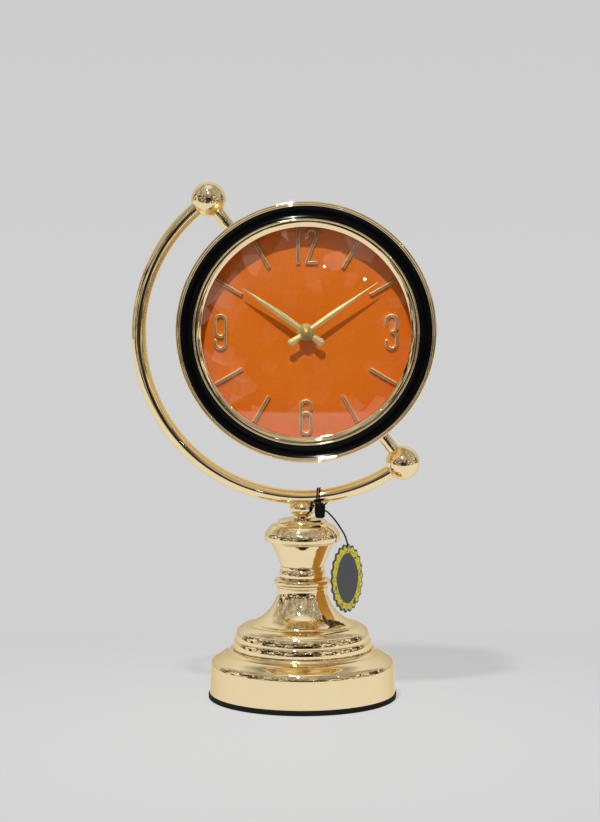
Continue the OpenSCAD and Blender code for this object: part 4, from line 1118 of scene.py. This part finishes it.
def rotated(tree, vector, degrees, axis, centre=(0.0, 0.0, 0.0)):
    node = nodeOf(tree, "VectorRotate", rotation_type=axis)
    return feedAll(tree, node, Vector=vector, Center=centre, Angle=radians(degrees)).outputs[0]


# How far out a value lies, as a power of its share
def outward(tree, value, share=1.0, power=2.0):
    size = mathNode(tree, "DIVIDE", mathNode(tree, "ABSOLUTE", value), share)
    return mathNode(tree, "POWER", size, power)


# A yellow scrollwork border round a dark bare panel, and plain board behind
def makeTagCard(look):
    material, tree, shader = newMaterial("tagCard")
    place = placeIn(tree)
    upright = rotated(tree, place, -tag["lean"], "Y_AXIS", tuple(tagEnd))
    flat = nodeOf(tree, "VectorMath", {0: upright, 1: tuple(-tagCentre)}, operation="ADD")
    turned = rotated(tree, flat.outputs[0], -tag["turn"], "Z_AXIS")
    x, depth, z = partsOf(tree, turned)
    across = mathNode(tree, "DIVIDE", x, tag["width"] / 2 * mm)
    upward = mathNode(tree, "DIVIDE", z, tagHeight / 2)
    oval = mathNode(tree, "SQRT", mathNode(tree, "ADD", outward(tree, across), outward(tree, upward)))
    pointed = mathNode(tree, "ADD", outward(tree, across, look["panel"][0]),
                       outward(tree, upward, look["panel"][1], look["panelPoint"]))
    panel = ranged(tree, pointed, *look["panelEdge"])
    heading = times(tree, mathNode(tree, "ARCTAN2", upward, across), float(tag["scallops"]))
    swell = timesPlus(tree, mathNode(tree, "COSINE", heading), tag["depth"], 1 - tag["depth"])
    rim = ranged(tree, mathNode(tree, "DIVIDE", oval, swell), *look["rim"])
    scroll = nodeOf(tree, "TexVoronoi", {"Vector": turned, "Scale": look["scrollScale"]},
                    feature="DISTANCE_TO_EDGE").outputs[0]
    leaf = noiseOf(tree, turned, *look["leaf"])
    flecks = times(tree, ranged(tree, scroll, *look["scrollSpan"]), ranged(tree, leaf, *look["leafSpan"]))
    ink = times(tree, times(tree, panel, rim), ranged(tree, flecks, *look["fleckSpan"]))
    dark = mixColour(tree, noiseOf(tree, place, look["darkScale"]), *look["dark"])
    printed = mixColour(tree, ink, dark, mixColour(tree, leaf, *look["yellow"]))
    back = ranged(tree, depth, *[edge * mm for edge in look["backSpan"]])
    colour = mixColour(tree, back, printed, mixColour(tree, leaf, *look["board"]))
    dress(tree, shader, colour, look["roughness"], ink, look["bump"], look["depth"])
    return material


cordLook = {
    "dark": (0.002, 0.002, 0.002),
    "light": (0.012, 0.012, 0.012),
    "twist": 420.0,
    "wander": 1.5,
    "roughness": (0.7, 0.5),
    "specular": 0.08,
    "bump": 0.8,
    "depth": 0.15,
}


def makeString(look):
    material, tree, shader = newMaterial("twistedCord", Specular_IOR_Level=look["specular"])
    wave = nodeOf(tree, "TexWave", bands_direction="DIAGONAL")
    feedAll(tree, wave, Vector=placeIn(tree), Scale=look["twist"], Distortion=look["wander"])
    twist = wave.outputs["Fac"]
    colour = mixColour(tree, twist, look["dark"], look["light"])
    rough = ranged(tree, twist, 0.0, 1.0, *look["roughness"])
    dress(tree, shader, colour, rough, twist, look["bump"], look["depth"])
    return material


materials = {slot: polishedMetal(*look) for slot, look in metals.items()}
materials.update({slot: mottledCoat(*look) for slot, look in coats.items()})
materials.update({slot: mouldedPlastic(*look) for slot, look in plastics.items()})
materials["numerals"] = makeNumeralGold(numeralLook)
materials["glass"] = makeGlass(glassLook)
materials["string"] = makeString(cordLook)
materials["tag"] = makeTagCard(card)
print("finishes mixed:", len(materials))


def paint(thing, finish):
    thing.data.materials.clear()
    thing.data.materials.append(materials[finish])


def paintAll():
    slots = {part["node"]: part["material_slot"] for part in frame["record"]["subparts"]}
    for name, node in frame["nodes"].items():
        paint(node, slots[name])
    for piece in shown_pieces():
        if piece.get("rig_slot"):
            paint(piece, "numerals" if piece.name in numerals["pieces"] else piece["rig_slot"])


paintAll()


# The studio; lengths are in metres
studio = {
    "floorHalf": 4.0,
    "floorBack": 6.0,
    "floorColour": (0.60, 0.602, 0.603),
    "floorRoughness": 0.6,
    # A painted pool of light: the floor seen by the camera is brighter round the clock
    "paintedLightColour": (0.715, 0.717, 0.715),
    "paintedLightCentre": (0.01, -0.10, 0),
    "paintedLightReach": 0.36,
    "floorBounce": (0.86, 0.86, 0.85),
    "backColour": (0.632, 0.632, 0.634),
    "fadeBehind": (0.15, 0.26),
    "fadeRound": (0.30, 0.60),
    "lift": 0.70,
    "tableEdge": (-0.51, -0.49),
    "fill": 0.38,
    "litBy": {"table": "floorOnly", "keyFront": "notFloor"},
    "lamps": {
        "keyFront": {"place": (-0.22, -1.90, 2.05), "aim": (0, 0, 0.21), "size": 0.05, "power": 61.0},
        "keyHigh": {"place": (-0.25, -0.60, 1.50), "aim": (0, 0, 0.15), "size": 0.12, "power": 3.0},
        "table": {"place": (-0.25, -0.60, 1.50), "aim": (0, 0, 0), "size": 0.12, "power": 16.0},
    },
}


def mixShader(tree, factor, a, b):
    return nodeOf(tree, "MixShader", {0: factor, 1: a, 2: b}).outputs[0]


def glowing(tree, colour):
    return nodeOf(tree, "Emission", {"Color": colour, "Strength": 1.0}).outputs[0]


# The floor takes shadows near the clock and fades into the backdrop around it; a brighter disc round the clock is
# a painted pool of light
def addFloor():
    half, back = studio["floorHalf"], studio["floorBack"]
    mesh = bpy.data.meshes.new("floor")
    corners = [(-half, -half, 0), (half, -half, 0), (half, back, 0), (-half, back, 0)]
    mesh.from_pydata(corners, [], [[0, 1, 2, 3]])
    floor = addObject("floor", mesh)
    material, tree, shader = newMaterial("palePaper", Base_Color=studio["floorColour"],
                                         Roughness=studio["floorRoughness"])
    path = nodeOf(tree, "LightPath").outputs
    place = nodeOf(tree, "NewGeometry").outputs["Position"]
    depth = partsOf(tree, place)[1]
    away = nodeOf(tree, "VectorMath", {0: place, 1: studio["paintedLightCentre"]}, operation="DISTANCE")
    reach = away.outputs["Value"]
    behind = softly(tree, depth, *studio["fadeBehind"])
    around = softly(tree, reach, *studio["fadeRound"])
    # Painted pool of light, brightest at the clock and gone at its reach
    paintedLightMask = softly(tree, reach, studio["paintedLightReach"], 0.0)
    plain = glowing(tree, mixColour(tree, paintedLightMask, studio["backColour"], studio["paintedLightColour"]))
    lifted = ranged(tree, mathNode(tree, "MAXIMUM", behind, around), 0.0, 1.0, studio["lift"], 1.0)
    seen = mixShader(tree, times(tree, lifted, path["Is Camera Ray"]), shader.outputs[0], plain)
    beyond = nodeOf(tree, "BsdfTransparent").outputs[0]
    onTable = ranged(tree, depth, *studio["tableEdge"])
    mirrored = mixShader(tree, onTable, beyond, glowing(tree, studio["floorBounce"]))
    mixed = mixShader(tree, path["Is Glossy Ray"], seen, mirrored)
    feed(tree, tree.nodes["Material Output"], "Surface", mixed)
    mesh.materials.append(material)
    return floor


# A lamp can light the floor alone, or all but the floor, as flags do in a studio
def addLamps(floor):
    lit = {name: bpy.data.collections.new(name) for name in ("floorOnly", "notFloor")}
    for group in lit.values():
        group.objects.link(floor)
    lit["notFloor"].collection_objects[0].light_linking.link_state = "EXCLUDE"
    for name, lamp in studio["lamps"].items():
        data = bpy.data.lights.new(name, "AREA")
        data.size = lamp["size"]
        data.energy = lamp["power"]
        light = addObject(name, data)
        place = Vector(lamp["place"])
        turn = (Vector(lamp["aim"]) - place).to_track_quat("-Z", "Y")
        light.matrix_world = Matrix.Translation(place) @ turn.to_matrix().to_4x4()
        if name in studio["litBy"]:
            light.light_linking.receiver_collection = lit[studio["litBy"][name]]


# The room that metal reflects: a pale backdrop behind and above, a busy shop on the other three sides
room = {
    "patch": (4.0, 2.0, 0.55),
    "shelfScale": 7.5,
    "shelfShare": 0.75,
    "speckScale": 16.0,
    "speckShare": 0.4,
    "front": (0.62, 0.42),
    "top": (0.985, 0.93),
    "horizon": (0.34, 0.46),
    "facing": (-0.90, -0.965),
    "facingTop": (0.32, 0.12),
    "shadowed": 0.14,
    "ceilingLamps": [
        (0.0724, -0.9705, 0.2302), (0.2268, -0.9562, 0.1814), (-0.5, -0.7, 0.5), (0.62, -0.5, 0.6),
    ],
    "lampEdge": (0.99998, 0.99999),
    "lampGlow": (26.0, 26.0, 26.0),
    "upperSpecks": 0.22,
    "wallSpan": (-0.3, 1.0),
    "backdropSpan": (-0.20, 0.16),
}
# Colours of the room, each with its place on the ramp
ramps = {
    "patches": [(0.30, (0.02, 0.015, 0.010)), (0.52, (0.16, 0.12, 0.08)), (0.70, (0.45, 0.38, 0.30))],
    "upper": [(0.30, (0.30, 0.27, 0.24)), (0.50, (0.47, 0.44, 0.40)), (0.70, (0.78, 0.75, 0.72))],
    "shelves": [(0.28, (0.008, 0.006, 0.004)), (0.52, (0.07, 0.05, 0.03)), (0.66, (0.40, 0.32, 0.22)),
                (0.86, (1.5, 1.4, 1.25))],
    "specks": [(0.40, (0.01, 0.008, 0.006)), (0.62, (0.10, 0.08, 0.06)), (0.80, (0.55, 0.50, 0.45)),
               (0.92, (2.2, 2.1, 1.9))],
    "walls": [(0.0, (0.45, 0.44, 0.42)), (0.35, (0.72, 0.72, 0.71)), (1.0, (0.92, 0.92, 0.90))],
    "backdrop": [(0.0, (0.615, 0.615, 0.616)), (0.40, (0.640, 0.640, 0.644)), (1.0, (0.606, 0.606, 0.611))],
}


def rampOf(tree, value, name):
    stops = ramps[name]
    node = nodeOf(tree, "ValToRGB", {0: value})
    marks = node.color_ramp.elements
    for mark, (position, colour) in zip(marks, (stops[0], stops[-1])):
        mark.position = position
        mark.color = (*colour, 1.0)
    for position, colour in stops[1:-1]:
        marks.new(position).color = (*colour, 1.0)
    return node.outputs[0]


# A steady level for each cell of the view
def cellsOf(tree, look, scale):
    cells = nodeOf(tree, "TexVoronoi", {"Vector": look, "Scale": scale, "Randomness": 1.0})
    return nodeOf(tree, "SeparateColor", {0: cells.outputs["Color"]}).outputs[0]


def shopOf(tree, look, y, z):
    patch = noiseOf(tree, look, *room["patch"])
    shelfCells = rampOf(tree, cellsOf(tree, look, room["shelfScale"]), "shelves")
    shelves = mixColour(tree, room["shelfShare"], rampOf(tree, patch, "patches"), shelfCells)
    speckCells = rampOf(tree, cellsOf(tree, look, room["speckScale"]), "specks")
    specks = mixColour(tree, room["speckShare"], shelves, speckCells)
    upper = mixColour(tree, room["upperSpecks"], rampOf(tree, patch, "upper"), specks)
    shop = mixColour(tree, ranged(tree, z, *room["horizon"]), specks, upper)
    facing = times(tree, ranged(tree, y, *room["facing"]), ranged(tree, z, *room["facingTop"]))
    level = ranged(tree, facing, 0.0, 1.0, 1.0, room["shadowed"])
    return nodeOf(tree, "VectorMath", {0: shop, "Scale": level}, operation="SCALE").outputs[0]


# The camera sees the backdrop, metal and glass see the room, and all else gets an even fill
def addWorld():
    world = bpy.data.worlds.new("studio")
    bpy.context.scene.world = world
    world.use_nodes = True
    tree = world.node_tree
    tree.nodes.clear()
    look = nodeOf(tree, "TexCoord").outputs["Generated"]
    _, y, z = partsOf(tree, look)
    front, below = ranged(tree, y, *room["front"]), ranged(tree, z, *room["top"])
    walls = rampOf(tree, ranged(tree, z, *room["wallSpan"]), "walls")
    opening = mathNode(tree, "MULTIPLY", front, below, clamp=True)
    inside = mixColour(tree, opening, walls, shopOf(tree, look, y, z))
    for heading in room["ceilingLamps"]:
        aim = Vector(heading).normalized()
        near = nodeOf(tree, "VectorMath", {0: look, 1: aim}, operation="DOT_PRODUCT")
        disc = ranged(tree, near.outputs["Value"], *room["lampEdge"])
        inside = mixColour(tree, disc, inside, room["lampGlow"])
    path = nodeOf(tree, "LightPath").outputs
    lit = mixColour(tree, path["Is Glossy Ray"], (studio["fill"],) * 3, inside)
    backdrop = rampOf(tree, ranged(tree, z, *room["backdropSpan"]), "backdrop")
    seen = mixColour(tree, path["Is Camera Ray"], lit, backdrop)
    background = nodeOf(tree, "Background", {"Color": seen, "Strength": 1.0})
    output = nodeOf(tree, "OutputWorld", {"Surface": background.outputs[0]})
    output.is_active_output = True


addLamps(addFloor())
addWorld()
bpy.context.scene.view_settings.view_transform = "Standard"
print("studio lit")
